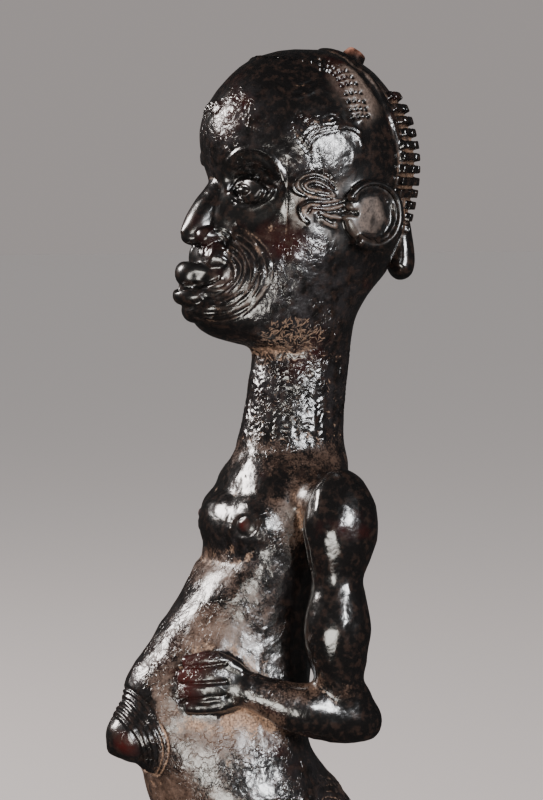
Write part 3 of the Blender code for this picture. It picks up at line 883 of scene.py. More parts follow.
# Raised scars and cuts: half width and rise in carver's units, then lines in photograph pixels
pixelMarks = {
    "templeRaised": (1.05, 0.95, (
        ((333, 188), (328, 183), (322, 179), (314, 177), (307, 179), (302, 183), (303, 188),
         (308, 192), (317, 194), (325, 195), (333, 196)),
        ((309, 186), (314, 184.5), (320, 185.5), (326, 188.5), (332, 192)),
        ((337, 201), (330, 201), (321, 202), (312, 202), (306, 202.5), (301, 206),
         (299.5, 211), (302, 217), (307, 222)),
        ((342, 205), (333, 208), (325, 209.5), (318, 208.5), (312, 207), (309, 210)),
        ((347, 218), (338, 217.5), (332, 216.5), (325, 214.5), (320, 212.5)),
        ((335, 226), (327, 222.5), (321, 218)),
        ((305, 195), (299, 193), (294, 189), (293.5, 183), (297, 178), (303, 174), (310, 172)),
    )),
    "templeCuts": (0.7, -1.15, (
        ((336, 189), (330, 180.5), (322.5, 176), (314, 174), (306, 175.5), (300, 179.5),
         (298.5, 184.5), (301.5, 190.5), (307, 194.5), (315, 197), (325, 199), (331, 198.5)),
        ((306, 186), (309, 189), (317, 191.5), (325, 192.8), (330, 193.5)),
        ((306, 185), (310, 182), (317, 181.3), (322.5, 183), (328, 187), (333, 191)),
        ((307, 210), (310, 205.5), (318, 205), (325, 205.4), (333, 204.2), (342, 202)),
        ((317, 211), (324, 211.5), (330, 212), (337, 211)),
        ((321, 216), (327, 220), (332, 223.5)),
    )),
    "noseRings": (0.6, 0.6, (
        ((203, 254), (204, 246), (208, 237.5), (215, 232.5), (222.5, 232.5), (228.5, 239),
         (228.5, 246), (223.5, 252.5)),
        ((207, 250), (208, 244), (211.5, 237.5), (218, 235), (223.5, 240), (222.5, 247.5)),
        ((200, 254), (202, 244), (207.5, 234), (217.5, 227.5), (227.5, 230), (233, 237.5)),
    )),
    "noseDome": (2.0, 0.8, (((217.5, 238), (215, 246), (211.5, 257), (210, 264)),)),
    "browSlopes": (0.7, 0.4, (
        ((288.5, 123), (300, 134), (311, 148.5)),
        ((283, 128), (294, 139), (305, 152)),
    )),
    "browPatch": (0.7, 0.5, (
        ((309, 147), (314, 137.5), (324, 133.5), (338, 130.5), (351, 131.5), (360, 138.5), (362, 146)),
        ((304, 143), (311, 132.5), (323, 128.5), (339, 126), (353, 127.5), (361, 133)),
        ((300, 138), (309, 128), (321, 124.5), (337, 121.5)),
    )),
    "browSpiral": (0.6, 0.4, (
        ((298, 118), (299, 124), (304, 128), (310, 126), (312, 121), (308, 117.5), (304, 119)),
    )),
    "socketEdge": (1.3, 1.0, (
        ((228, 162), (234, 155), (243, 150), (257, 149), (270, 156), (279, 168), (283, 180)),
    )),
    "socketHollow": (3.4, -1.2, (((232, 182), (240, 174), (252, 171), (264, 175), (271, 183)),)),
    "lowerLid": (1.9, 1.5, (((238, 203), (248, 205.5), (258, 202), (267, 195), (272, 187)),)),
    "pupil": (1.3, 0.6, (((240, 190), (243, 190)),)),
    "eyeRing": (0.9, 0.9, (
        ((230, 193), (236, 198.5), (246, 200.5), (256, 197), (262, 190), (257, 183.5), (247, 181),
         (238, 184), (230, 193)),
    )),
    "eyeInner": (0.6, -0.8, (
        ((234, 190), (238, 194.5), (244, 195), (249, 190), (244, 185.5), (238, 186), (234, 190)),
    )),
    "mouthHollow": (4.4, -1.6, (((198, 278), (207, 279), (217, 275)),)),
    "mouthGap": (1.1, -1.6, (((177, 289), (186, 287), (197, 286), (208, 283), (219, 277)),)),
    "eyeCut": (0.9, -1.1, (
        ((233, 202), (243, 205), (254, 204), (264, 196), (268, 188)),
        ((229, 190), (236, 180), (247, 177), (259, 179), (266, 187)),
    )),
    "cheekCrack": (0.4, -0.25, (((287, 158), (287, 198), (286.5, 220), (285.5, 243), (285, 266)),)),
    "breastEdge": (3.4, -0.9, (((206, 560), (220, 563), (234, 563), (246, 558), (255, 550)),)),
    "nippleCut": (1.0, -0.55, (arcPixels((245, 526), (10, 9.5), 0, 360, 13),)),
    "nippleRim": (1.4, 0.35, (arcPixels((245, 526), (14.5, 13), 10, 170),)),
    "armCrease": (1.2, -0.9, (((298, 512), (303, 530), (308, 550), (311, 572)),)),
    "fingerGaps": (0.85, -1.3, (
        ((180, 667.5), (200, 667), (226, 664)),
        ((179, 684), (200, 684), (227, 682)),
        ((180, 700), (200, 699.5), (227, 697)),
    )),
}

scarArcs = {
    "mouth": {"centre": (213, 270), "smallest": 18.5, "pitch": 4.6, "count": 8, "stretch": 1.15,
              "from": -66, "to": 110, "half": 0.8, "rise": -0.5, "wave": 0.03},
    "brow": {"centre": (298, 57), "smallest": 26, "pitch": 4.4, "count": 4, "stretch": 1.0,
             "from": 48, "to": 128, "half": 0.7, "rise": 0.4, "wave": 0.03},
    "browRing": {"centre": (215, 107), "smallest": 2.2, "pitch": 3.2, "count": 2, "stretch": 0.9,
                 "from": 0, "to": 360, "half": 0.6, "rise": 0.7, "wave": 0},
    "browEye": {"centre": (331, 120.5), "smallest": 3.5, "pitch": 4, "count": 2, "stretch": 1.3,
                "from": 0, "to": 360, "half": 0.6, "rise": 0.35, "wave": 0},
    "hip": {"centre": (330, 808), "smallest": 8, "pitch": 6, "count": 4, "stretch": 1.1,
            "from": 190, "to": 350, "half": 0.9, "rise": 0.45, "wave": 0.02},
}


def carvePixelMarks(carving):
    for half, rise, lines in pixelMarks.values():
        carving.lines([pixelLine(carving.skin, line) for line in lines], half, rise)
    for arcs in scarArcs.values():
        for k in range(arcs["count"]):
            tall = arcs["smallest"] + arcs["pitch"] * k
            arc = arcPixels(arcs["centre"], (tall * arcs["stretch"], tall), arcs["from"], arcs["to"],
                            15, arcs["wave"], k * 2.1)
            carving.lines([pixelLine(carving.skin, arc)], arcs["half"], arcs["rise"])


def skinLine(skin, places, steps=4):
    return [skinPoint(skin, *row)[0] for row in smoothRows(places, steps)]


def carveEar(carving):
    skin = carving.skin
    for cut in ear["cuts"]:
        turns = [cut["start"] - cut["sweep"] * k / cut["steps"] for k in range(cut["steps"] + 1)]
        places = [earPoint(turn, cut["reach"], ear["cutStand"]) for turn in turns]
        carving.lines([skinLine(skin, places, 2)], cut["half"], cut["rise"])
    carving.pits([skinPoint(skin, *earPoint(0, 0, ear["cutStand"]))[0]], *ear["dish"])
    carving.lines([straightPixels(skin, *ear["hole"])], *ear["holeCut"])


neckPattern = {
    "low": 236,
    "high": 273,
    "fade": 4,
    "axisY": 12,
    "reach": 26,
    "radius": 19,
    "panel": 9.0,
    "pitch": 2.4,
    "slope": 0.8,
    "depth": 0.7,
    "seamDepth": 0.15,
    "seamHalf": 0.8,
}


def carveNeck(carving):
    # slanting cuts in upright panels, uneven in pitch and depth
    neck = neckPattern
    x, y = carving.points[:, 0] / unit, carving.points[:, 1] / unit - neck["axisY"]
    z = heights(carving.points)
    fade = np.clip(np.minimum(z - neck["low"], neck["high"] - z) / neck["fade"], 0, 1)
    fade *= np.hypot(x, y) < neck["reach"]
    around = np.arctan2(x, -y) * neck["radius"]
    column = np.abs((around + neck["panel"] / 2) % neck["panel"] - neck["panel"] / 2)
    # the wobble and the patches are sums of waves that don't repeat together
    wobble = 0.7 * np.sin(around * 1.3 + z * 0.35) + 0.5 * np.sin(z * 0.9 + around * 0.4)
    row = (z + column * neck["slope"] + wobble) / neck["pitch"]
    scale = 0.5 + 0.5 * np.cos(2 * math.pi * row)
    patchy = 0.55 + 0.45 * np.sin(around * 0.9 + z * 0.23) * np.sin(z * 0.31 - around * 0.5)
    carving.push -= fade * neck["depth"] * unit * scale * patchy
    seam = np.exp(-((column - neck["panel"] / 2) / neck["seamHalf"]) ** 2)
    carving.push -= fade * neck["seamDepth"] * unit * seam


def carveHairBand(carving):
    # rows of pits punched along the hair's margin, so that a net is left
    skin = carving.skin
    route = smoothRows(hair["hairline"], 8)
    marks, travelled, last = [], 0, Vector(route[0])
    for row in range(len(route) - 1):
        place, ahead = Vector(route[row]), Vector(route[row + 1])
        travelled += (place - last).length
        last = place
        if travelled < hair["pitRowPitch"] and marks:
            continue
        travelled = 0
        point, normal = skinPoint(skin, *place)
        across = normal.cross(ahead - place).normalized()
        columns = hair["pitColumns"] if place.x > hair["bandStart"] else 1
        for k in range(columns):
            aside = point + across * (k - (columns - 1) / 2) * hair["pitPitch"] * unit
            marks.append(skin.closest_point_on_mesh(aside)[1])
    carving.pits(marks, hair["pitRadius"], hair["pitDepth"])


navelRings = {
    "steps": 36,
    "places": ((1.5, 16), (3.4, 15), (5.3, 14), (7.2, 13), (9.1, 12), (11.0, 10.5)),  # depth, radius
    "half": 0.7,
    "rise": -1.0,
}
spine = {
    "route": ((0, 34, 232), (0, 32, 215), (0, 28, 195), (0, 20, 175), (0, 16, 150), (0, 16, 125)),
    "half": 2.6,
    "rise": -1.3,
}


def carveNavel(carving):
    # rings cut round the navel's cone
    skin = carving.skin
    root, tip = Vector(navel[0][:3]), Vector(navel[-1][:3])
    axis = (tip - root).normalized()
    side = Vector((1, 0, 0))
    over = axis.cross(side).normalized()
    steps = navelRings["steps"]
    turns = [2 * math.pi * k / steps for k in range(steps + 1)]
    for depth, radius in navelRings["places"]:
        centre = root + axis * depth
        ring = [spot(*(centre + side * radius * math.cos(a) + over * radius * math.sin(a))) for a in turns]
        laid = [skin.closest_point_on_mesh(place)[1] for place in ring]
        carving.lines([laid], navelRings["half"], navelRings["rise"], mirrored=False)


def carveSpine(carving):
    carving.lines([skinLine(carving.skin, spine["route"])], spine["half"], spine["rise"], mirrored=False)


blade = {
    "seed": 7,
    "scoops": 3600,
    "squeeze": (1, 1, 0.55),
    "headFrom": 272,
    "onHead": 0.008,
    "onBody": 0.021,
    "level": 5,
    "deepest": 0.5,
    "highest": 0.6,
}


def toolMarks(carving):
    # shallow scoops of the blade, longer than wide, lighter on the head
    points = carving.points
    dice = np.random.default_rng(blade["seed"])
    picks = dice.choice(len(points), blade["scoops"], replace=False)
    squeezed = points * np.array(blade["squeeze"])
    tree = KDTree(len(picks))
    for i, index in enumerate(picks):
        tree.insert(Vector(squeezed[index]), i)
    tree.balance()
    away = np.array([tree.find(place)[2] for place in squeezed]) / unit
    strength = np.where(heights(points) > blade["headFrom"], blade["onHead"], blade["onBody"])
    push = strength * (away ** 2 - blade["level"])
    carving.push += np.clip(push, -blade["deepest"], blade["highest"]) * unit


def carveSkin(skin):
    carving = Carving(skin)
    carvePixelMarks(carving)
    carveEar(carving)
    carveNeck(carving)
    carveHairBand(carving)
    carveNavel(carving)
    carveSpine(carving)
    toolMarks(carving)
    carving.finish()
    print("carved")


def thin(skin):
    count = sum(len(face.vertices) - 2 for face in skin.data.polygons)
    fewer = skin.modifiers.new("fewer", "DECIMATE")
    fewer.ratio = min(1, grain["triangles"] / count)
    applyModifiers(skin)


def keepInside(skin):
    # the underside lies flat and nothing passes the solid's box
    points = readPoints(skin.data)
    points[points[:, 2] < grain["flatBelow"], 2] = 0
    writePoints(skin.data, np.clip(points, np.array(cadLow), np.array(cadHigh)))


def softenedValues(skin, values, rounds, kept=0.4):
    # values averaged with those of their neighbours, again and again
    edges = np.zeros(len(skin.data.edges) * 2, np.int32)
    skin.data.edges.foreach_get("vertices", edges)
    a, b = edges.reshape(-1, 2).T
    count = np.bincount(np.concatenate((a, b)), minlength=len(values)).astype(float)
    count = np.maximum(count, 1)
    flat = values.ndim == 1
    values = values.reshape(len(values), -1).copy()
    for _ in range(rounds):
        for column in range(values.shape[1]):
            total = np.bincount(a, values[b, column], len(values))
            total += np.bincount(b, values[a, column], len(values))
            values[:, column] = kept * values[:, column] + (1 - kept) * total / count
    return values[:, 0] if flat else values


def writeValue(skin, name, values):
    layer = skin.data.attributes.new(name, "FLOAT", "POINT")
    layer.data.foreach_set("value", values.astype(np.float32))


def region(points, centre, radii):
    # 1 at a place and 0 past an oval round it
    away = (points - np.array(spot(*centre))) / (np.array(radii) * unit)
    return np.clip(1.3 - np.linalg.norm(away, axis=1), 0, 1)


def bothSides(places):
    # each place on the left side and its mirror image
    return tuple(((side * x, y, z), *rest) for (x, y, z), *rest in places for side in (1, -1))


# Where the surface differs: centre, radii and strength of each place, the bare and shaded ones without
# strength
wearPlaces = {
    "clay": (  # ochre clay still sits here
        ((0, 8, 233), (40, 32, 9), 0.8),
        ((0, -20, 190), (32, 14, 9), 1.0),
        ((22, -30, 166), (22, 22, 18), 1.15),
        ((-22, -30, 162), (22, 22, 18), 1.15),
        ((24, -28, 136), (28, 30, 14), 1.25),
        ((-24, -28, 132), (28, 30, 14), 1.25),
        ((0, -36, 110), (46, 36, 20), 0.95),
        ((40, -2, 150), (14, 24, 8), 0.7),
        ((-40, -2, 148), (14, 24, 8), 0.7),
        ((0, 52, 344), (32, 12, 40), 0.55),
        ((0, 4, 274), (26, 26, 8), 0.75),
        ((0, 0, 4), (60, 60, 18), 0.9),
        ((0, -4, 84), (30, 40, 16), 0.8),
        ((0, 30, 105), (40, 24, 26), 0.7),
        *bothSides((
            ((22, -18, 180), (14, 16, 22), 0.65),
            ((29, -2, 216), (7, 14, 20), 0.9),
            ((14, -44, 142), (12, 14, 26), 1.0),
            ((20, -4, 20), (20, 24, 22), 0.8),
        )),
    ),
    "filmAndSheen": (  # the polish has gone dull and greyish, its grey partly a painted sheen where highlights fall
        ((0, -36, 140), (40, 40, 50), 1.0),
        ((0, 10, 255), (26, 30, 30), 0.9),
        ((0, -24, 340), (12, 8, 10), 0.6),
        ((0, 4, 90), (50, 50, 44), 0.9),
        ((0, 0, 20), (60, 60, 50), 0.9),
        ((0, 30, 190), (30, 20, 60), 0.7),
        *bothSides((
            ((18, -14, 186), (18, 16, 30), 0.9),
            ((24, 4, 292), (14, 26, 20), 1.0),
            ((31, 6, 346), (9, 15, 13), 0.8),
            ((14, -18, 357), (16, 14, 15), 1.0),
        )),
    ),
    "dust": (  # fine brown dust has settled in the cuts
        ((0, 50, 342), (34, 16, 40), 0.9),
        *bothSides((
            ((34, 27.7, 321.5), (6, 9, 9), 0.7),
            ((28, 25.5, 367), (7, 6, 12), 1.0),
            ((31, 6, 324), (8, 13, 12), 0.8),
            ((20, -12, 296), (14, 14, 18), 0.55),
            ((20, 30, 374), (16, 16, 16), 0.6),
        )),
    ),
    "red": (  # the wood shows dark red: fingers, nipples, the navel's side, cheek and brow
        ((24, -38, 152), (9, 13, 12), 0.6),
        ((-24, -38, 144), (9, 13, 12), 0.6),
        ((8, -59, 128), (6, 6, 6), 0.85),
        ((24, -6, 314), (10, 12, 12), 0.2),
        ((10, -14, 362), (20, 14, 14), 0.3),
        *bothSides((((21, -18, 209), (3, 3, 3), 1.0),)),
    ),
    "bareAndShaded": (  # polished bare wood, and painted shade kept in the hollows: hands, mouth, nose, eyes, nipples, navel, ears, hair band
        ((26, -36, 152), (9, 16, 12)),
        ((-26, -36, 144), (9, 16, 12)),
        ((0, -27, 298), (15, 14, 9)),
        ((0, -26, 316), (12, 14, 9)),
        ((0, -58, 132), (16, 12, 18)),
        *bothSides((
            ((17, -14, 332), (13, 10, 12)),
            ((21, -18, 209), (5, 5, 5)),
            ((33, 27, 322), (8, 16, 16)),
            ((28, 24, 368), (9, 10, 16)),
        )),
    ),
    "raw": (((0, 38, 388), (7, 7, 6), 1.0),),  # the raw wood of the break
}
hollowLook = {
    "nearRounds": 5,
    "wideRounds": 22,
    "nearShare": 5,
    "wideShare": 1.2,
    "bareEdge": 4,
}


def markWear(skin):
    # how deep each point sits in its surroundings, and what lies on it
    points = readPoints(skin.data)
    normals = readNormals(skin.data)
    near = softenedValues(skin, points, hollowLook["nearRounds"])
    wide = softenedValues(skin, near, hollowLook["wideRounds"])
    fine = np.einsum("ij,ij->i", near - points, normals) / unit
    broad = np.einsum("ij,ij->i", wide - points, normals) / unit
    hollow = np.clip(fine * hollowLook["nearShare"] + broad * hollowLook["wideShare"], -1, 1)
    writeValue(skin, "hollow", 0.5 + 0.5 * hollow)
    for name, places in wearPlaces.items():
        values = np.zeros(len(points))
        for centre, radii, *strength in places:
            found = region(points, centre, radii)
            found = found * strength[0] if strength else np.clip(found * hollowLook["bareEdge"], 0, 1)
            values = np.maximum(values, found)
        writeValue(skin, name, values)


def grey(value):
    return (value, value, value)


class Look:
    # a material under construction, with short names for the nodes that it is made of
    def __init__(self, name):
        self.material = bpy.data.materials.new(name)
        self.material.use_nodes = True
        self.tree = self.material.node_tree
        self.shader = self.tree.nodes["Principled BSDF"]
        self.place = self.tree.nodes.new("ShaderNodeTexCoord").outputs["Object"]

    def join(self, value, socket):
        # a socket takes another's output, a number or a colour
        if hasattr(value, "links"):
            self.tree.links.new(value, socket)
        elif isinstance(value, tuple):
            socket.default_value = (*value, 1)
        else:
            socket.default_value = value

    def attribute(self, name):
        node = self.tree.nodes.new("ShaderNodeAttribute")
        node.attribute_name = name
        return node.outputs["Fac"]

    def noise(self, scale, detail, roughness):
        node = self.tree.nodes.new("ShaderNodeTexNoise")
        for name, value in (("Scale", scale), ("Detail", detail), ("Roughness", roughness)):
            node.inputs[name].default_value = value
        self.tree.links.new(self.place, node.inputs["Vector"])
        return node

    def ramp(self, value, stops):
        # stops: a place and a colour or share of grey
        node = self.tree.nodes.new("ShaderNodeValToRGB")
        elements = node.color_ramp.elements
        while len(elements) < len(stops):
            elements.new(0.5)
        for element, (place, tone) in zip(elements, stops):
            element.position = place
            element.color = (*tone, 1) if isinstance(tone, tuple) else (*grey(tone), 1)
        self.tree.links.new(value, node.inputs["Fac"])
        return node.outputs["Color"]

    def sum(self, operation, a, b, clamp=False):
        node = self.tree.nodes.new("ShaderNodeMath")
        node.operation = operation
        node.use_clamp = clamp
        self.join(a, node.inputs[0])
        self.join(b, node.inputs[1])
        return node.outputs["Value"]

    def times(self, a, b, clamp=True):
        return self.sum("MULTIPLY", a, b, clamp)

    def larger(self, a, b):
        return self.sum("MAXIMUM", a, b, True)

    def blend(self, weights, values):
        # a start and so much of each named value
        total = weights["start"]
        for name, weight in weights.items():
            if name != "start":
                total = self.sum("ADD", total, self.times(values[name], weight, False))
        return total

    def mix(self, share, a, b, kind="RGBA"):
        node = self.tree.nodes.new("ShaderNodeMix")
        node.data_type = kind
        first, last, out = (6, 7, 2) if kind == "RGBA" else (2, 3, 0)
        self.tree.links.new(share, node.inputs["Factor"])
        self.join(a, node.inputs[first])
        self.join(b, node.inputs[last])
        return node.outputs[out]

    def bump(self, height, strength, distance):
        node = self.tree.nodes.new("ShaderNodeBump")
        node.inputs["Strength"].default_value = strength
        node.inputs["Distance"].default_value = distance
        self.tree.links.new(height, node.inputs["Height"])
        self.tree.links.new(node.outputs["Normal"], self.shader.inputs["Normal"])


patina = {
    "black": (0.0035, 0.003, 0.003),
    "red": (0.034, 0.003, 0.002),
    "brown": (0.020, 0.011, 0.008),
    # grey of the dull film, partly a painted sheen
    "filmAndSheen": (0.017, 0.015, 0.016),
    "dust": (0.095, 0.060, 0.043),
    "veil": (0.095, 0.052, 0.033),
    "darkClay": (0.045, 0.024, 0.014),
    "clay": (0.20, 0.108, 0.060),
    "paleClay": (0.34, 0.22, 0.145),
    "rawWood": (0.24, 0.085, 0.045),
    "gloss": 0.18,
    "dull": 0.30,
    "dry": 0.75,
    "relief": 0.0013,
    "reliefStrength": 0.9,
    "specular": 0.75,
    "coat": 0.2,
    "coatRoughness": 0.15,
    "noises": {  # scale, detail, roughness
        "broad": (38, 5, 0.55),
        "blotch": (170, 7, 0.65),
        "chips": (380, 4, 0.55),
        "speck": (1300, 4, 0.6),
        "swell": (165, 2, 0.5),
    },
    "crackScale": 150,
    "crackRipple": (260, 2, 0.5),
    "crackWarp": 0.012,
    "ramps": {  # from a value to a share
        "crackLine": ((0.0, 1), (0.06, 0)),
        "crackArea": ((0.45, 0), (0.6, 1)),
        "glow": ((0.58, 0), (0.90, 1)),
        "mottle": ((0.50, 0), (0.64, 0.6)),
        "filmBreak": ((0.40, 0), (0.58, 1)),
        "filmBits": ((0.30, 0.5), (0.6, 1)),
        "dustBits": ((0.34, 0.35), (0.58, 0.9)),
        "rawBits": ((0.38, 0.4), (0.56, 2)),
        "worn": ((0.40, 0), (0.68, 0.4)),
    },
    "claySteps": (0.36, 0.50, 0.68),
    "blends": {  # so much of each noise, wear or share
        "glow": {"start": 0, "broad": 1, "red": 0.45},
        # in the bare places, partly painted shade in the hollows, dust leaves the hollows for the ridges,
        # and veil and clay stay off
        "signed": {"start": 1, "bareAndShaded": -2.4},
        "settled": {"start": -0.42, "sunk": 1.8, "chips": 1},
        "veil": {"start": -1.62, "blotch": 1.5, "speck": 1.1, "clay": 0.75, "bareAndShaded": -0.9},
        "laid": {"start": -1.26, "blotch": 0.6, "chips": 0.5, "speck": 0.6,
                 "deep": 0.9, "clay": 0.5, "bareAndShaded": -1},
        "rough": {"start": 0.36, "filmAndSheen": 0.6, "bareAndShaded": -0.3},
        "height": {"start": 0, "swell": 1, "chips": 0.28, "speck": 0.05},
    },
    "shares": {  # how strongly each tells
        "barePolish": 0.8,
        "crackClay": 0.6,
        "dust": 1.5,
        "veil": 1.6,
        "veilMost": 0.85,
        "clay": 2.6,
        "clayMost": 0.9,
        "bareWorn": 0.75,
        "veilDry": 0.6,
        "crackDepth": 0.25,
    },
}


def crackLines(look, values):
    # fine cracks where the film lies thick, along the edges of warped cells
    cracks = look.tree.nodes.new("ShaderNodeTexVoronoi")
    cracks.feature = "DISTANCE_TO_EDGE"
    cracks.inputs["Scale"].default_value = patina["crackScale"]
    warped = look.tree.nodes.new("ShaderNodeVectorMath")
    warped.operation = "MULTIPLY_ADD"
    warped.inputs[1].default_value = grey(patina["crackWarp"])
    look.join(look.noise(*patina["crackRipple"]).outputs["Color"], warped.inputs[0])
    look.join(look.place, warped.inputs[2])
    look.join(warped.outputs["Vector"], cracks.inputs["Vector"])
    line = look.ramp(cracks.outputs["Distance"], patina["ramps"]["crackLine"])
    area = look.ramp(values["broad"], patina["ramps"]["crackArea"])
    return look.times(look.times(line, values["filmAndSheen"]), area)


def patinaMaterial():
    look = Look("darkPatina")
    ramps, blends, shares = patina["ramps"], patina["blends"], patina["shares"]
    values = {name: look.noise(*noise).outputs["Fac"] for name, noise in patina["noises"].items()}
    for name in ("hollow", *wearPlaces):
        values[name] = look.attribute(name)
    crack = crackLines(look, values)

    # near black, with a red glow in places and a brown mottle
    glow = look.ramp(look.blend(blends["glow"], values), ramps["glow"])
    colour = look.mix(glow, patina["black"], patina["red"])
    colour = look.mix(look.ramp(values["chips"], ramps["mottle"]), colour, patina["brown"])

    # the dull greyish film, partly a painted sheen, broken by blotches, and none where the wood is red,
    # bare or kept dark as painted shade
    filmAndSheen = look.times(values["filmAndSheen"], look.ramp(values["blotch"], ramps["filmBreak"]))
    filmAndSheen = look.times(filmAndSheen, look.ramp(values["speck"], ramps["filmBits"]))
    # the bare places, partly painted shade in the hollows, keep the lighter film off
    kept = look.larger(values["red"], look.times(values["bareAndShaded"], shares["barePolish"]))
    filmAndSheen = look.times(filmAndSheen, look.sum("SUBTRACT", 1.0, kept, True))
    colour = look.mix(filmAndSheen, colour, patina["filmAndSheen"])
    colour = look.mix(look.times(crack, shares["crackClay"]), colour, patina["darkClay"])

    # brown dust thinly in the cuts; in the bare places the hollows are kept dark as painted shade and the
    # dust lies on the ridges
    values["deep"] = look.sum("SUBTRACT", values["hollow"], 0.5)
    values["sunk"] = look.times(values["deep"], look.blend(blends["signed"], values), False)
    dust = look.times(look.blend(blends["settled"], values), values["dust"], False)
    dust = look.times(look.times(dust, shares["dust"]), look.ramp(values["speck"], ramps["dustBits"]))
    colour = look.mix(dust, colour, patina["dust"])

    # a thin veil of clay over whole areas
    veil = look.times(look.blend(blends["veil"], values), shares["veil"])
    veil = look.times(veil, shares["veilMost"])
    colour = look.mix(veil, colour, patina["veil"])

    # ochre clay in its own places, thickest in hollows and gritty at its edges
    clay = look.times(look.blend(blends["laid"], values), shares["clay"])
    tones = (patina["darkClay"], patina["clay"], patina["paleClay"])
    clayTone = look.ramp(values["speck"], tuple(zip(patina["claySteps"], tones)))
    colour = look.mix(look.times(clay, shares["clayMost"]), colour, clayTone)
    raw = look.times(values["raw"], look.ramp(values["chips"], ramps["rawBits"]))
    colour = look.mix(raw, colour, patina["rawWood"])
    look.join(colour, look.shader.inputs["Base Color"])

    # gloss where hands polished it, duller in the film, dry in the clay
    worn = look.ramp(values["chips"], ramps["worn"])
    worn = look.larger(worn, look.times(values["bareAndShaded"], shares["bareWorn"]))
    roughness = look.mix(look.larger(worn, filmAndSheen), patina["gloss"], patina["dull"], "FLOAT")
    dry = look.larger(clay, look.larger(raw, dust))
    dry = look.larger(dry, look.times(veil, shares["veilDry"]))
    roughness = look.mix(dry, roughness, patina["dry"], "FLOAT")
    look.join(roughness, look.shader.inputs["Roughness"])
    height = look.times(look.blend(blends["height"], values), look.blend(blends["rough"], values), False)
    height = look.sum("SUBTRACT", height, look.times(crack, shares["crackDepth"]))
    look.bump(height, patina["reliefStrength"], patina["relief"])
    look.shader.inputs["Specular IOR Level"].default_value = patina["specular"]
    look.shader.inputs["Coat Weight"].default_value = patina["coat"]
    look.shader.inputs["Coat Roughness"].default_value = patina["coatRoughness"]
    print("patina mixed")
    return look.material


crust = {
    "seed": 11,
    "strands": 300,
    "across": (262, 326),
    "down": (316, 354),
    "middle": (293, 335),
    "reach": (31, 17),
    "thickness": (0.14, 0.30),
    "length": (0.5, 1.5),
    "dark": (0.025, 0.014, 0.009),
    "colour": (0.13, 0.076, 0.046),
    "mottle": (600, 4, 0.6),
    "mottleSteps": (0.35, 0.62),
    "roughness": 0.8,
    "bump": 0.5,
    "relief": 0.0003,
}


def crustMaterial():
    look = Look("driedClay")
    mottle = look.noise(*crust["mottle"]).outputs["Fac"]
    tones = tuple(zip(crust["mottleSteps"], (crust["dark"], crust["colour"])))
    look.join(look.ramp(mottle, tones), look.shader.inputs["Base Color"])
    look.join(crust["roughness"], look.shader.inputs["Roughness"])
    look.bump(mottle, crust["bump"], crust["relief"])
    return look.material


def addCrust(skin):
    # dried clay in crumbs and short strands, under the jaw
    dice = random.Random(crust["seed"])
    crumbs = []
    for k in range(crust["strands"]):
        across = dice.uniform(*crust["across"])
        down = dice.uniform(*crust["down"])
        thickness = dice.uniform(*crust["thickness"])
        length = dice.uniform(*crust["length"])
        way = Vector([dice.uniform(-1, 1) for axis in range(3)])
        shares = [(place - middle) / reach for place, middle, reach
                  in zip((across, down), crust["middle"], crust["reach"])]
        point = pixelPoint(skin, across, down)
        if point is None or math.hypot(*shares) > 1:
            continue
        normal = skin.closest_point_on_mesh(point)[2]
        turn = normal.cross(way).to_track_quat("Z", "X").to_euler()
        clearSelection()
        bpy.ops.mesh.primitive_ico_sphere_add(
            subdivisions=2,
            radius=1,
            location=point,
            rotation=turn,
            scale=(thickness * unit, thickness * unit, length * unit),
        )
        crumbs.append(settled())
    piece = joined(crumbs)
    piece.name = "jawCrust"
    piece.data.materials.clear()
    piece.data.materials.append(crustMaterial())
    bpy.ops.object.shade_smooth()
    print("crust laid:", len(crumbs), "strands")
    return piece


studio = {
    "floor": (0.39, 0.355, 0.345),
    "floorRoughness": 0.9,
    "floorWidth": 40,
    "air": 1.0,
    "gloom": 0.03,
    "wallShare": 0.895,
    # name, way from the figure as the camera sees it (right, up, near), reach, breadth, power, colour
    "lamps": (
        ("rimBox", (-0.86, 0.46, -0.12), 1.5, 0.60, 44, (1.0, 0.93, 0.89)),
        ("keyBox", (0.52, 0.14, 0.84), 1.5, 0.46, 30, (0.97, 0.98, 1.0)),
        ("lowBox", (-0.20, -0.42, 0.88), 0.55, 0.24, 2.4, (1.0, 0.96, 0.88)),
    ),
}


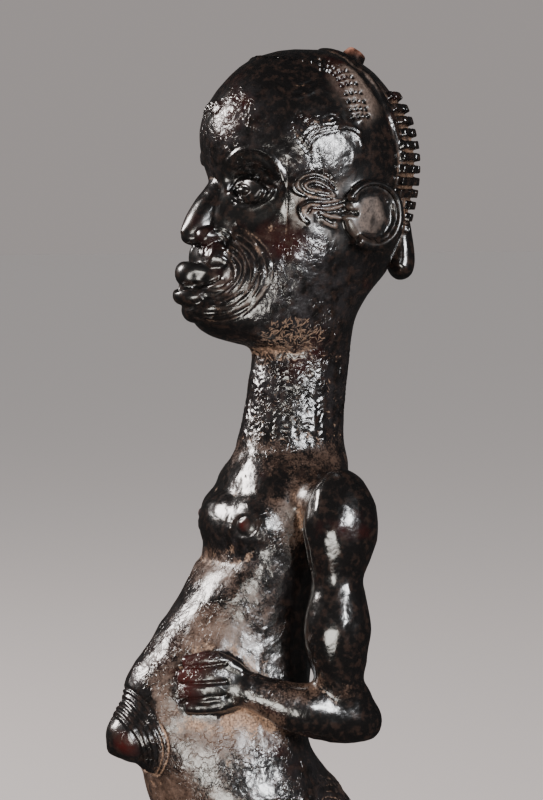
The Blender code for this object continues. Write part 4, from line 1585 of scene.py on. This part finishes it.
def addFloor():
    clearSelection()
    bpy.ops.mesh.primitive_plane_add(size=studio["floorWidth"], location=(0, 0, 0))
    floor = bpy.context.object
    floor.name = "floor"
    look = Look("paleFloor")
    look.join(studio["floor"], look.shader.inputs["Base Color"])
    look.join(studio["floorRoughness"], look.shader.inputs["Roughness"])
    floor.data.materials.append(look.material)
    floor.visible_glossy = False


def addLamps():
    back, right, up, eye = cameraAxes()
    middle = Vector((0, 0, photoView["aimHeight"]))
    for name, way, reach, breadth, power, colour in studio["lamps"]:
        way = (right * way[0] + up * way[1] + back * way[2]).normalized()
        bpy.ops.object.light_add(type="AREA", location=middle + way * reach)
        lamp = bpy.context.object
        lamp.name = name
        lamp.data.shape = "DISK"
        lamp.data.size = breadth
        lamp.data.energy = power
        lamp.data.color = colour
        lamp.rotation_euler = (-way).to_track_quat("-Z", "Y").to_euler()


def addAir():
    # pale to the eye and to matt surfaces, dark in what the gloss mirrors
    world = bpy.data.worlds.new("studioAir")
    bpy.context.scene.world = world
    world.use_nodes = True
    tree = world.node_tree
    tree.nodes.clear()
    output = tree.nodes.new("ShaderNodeOutputWorld")
    ray = tree.nodes.new("ShaderNodeLightPath")
    wall = [part * studio["air"] * studio["wallShare"] for part in studio["floor"]]
    tones = ((None, grey(studio["air"])), ("Is Glossy Ray", grey(studio["gloom"])), ("Is Camera Ray", wall))
    seen = None
    for kind, tone in tones:
        shade = tree.nodes.new("ShaderNodeBackground")
        shade.inputs["Color"].default_value = (*tone, 1)
        shown = shade.outputs["Background"]
        if kind:
            chosen = tree.nodes.new("ShaderNodeMixShader")
            tree.links.new(ray.outputs[kind], chosen.inputs["Fac"])
            tree.links.new(seen, chosen.inputs[1])
            tree.links.new(shown, chosen.inputs[2])
            shown = chosen.outputs["Shader"]
        seen = shown
    tree.links.new(seen, output.inputs["Surface"])


def buildStudio():
    addFloor()
    addLamps()
    addAir()
    print("studio ready")


placeCamera()
skin = buildSkin()
carveSkin(skin)
thin(skin)
keepInside(skin)
markWear(skin)
print("thinned:", len(skin.data.polygons), "triangles")
jawCrust = addCrust(skin)
pick(skin)
skin.data.materials.clear()
skin.data.materials.append(patinaMaterial())
bpy.ops.object.shade_smooth()
buildStudio()

for piece in (skin, jawCrust):
    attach(piece, "root")
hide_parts("figure")
clearSelection()
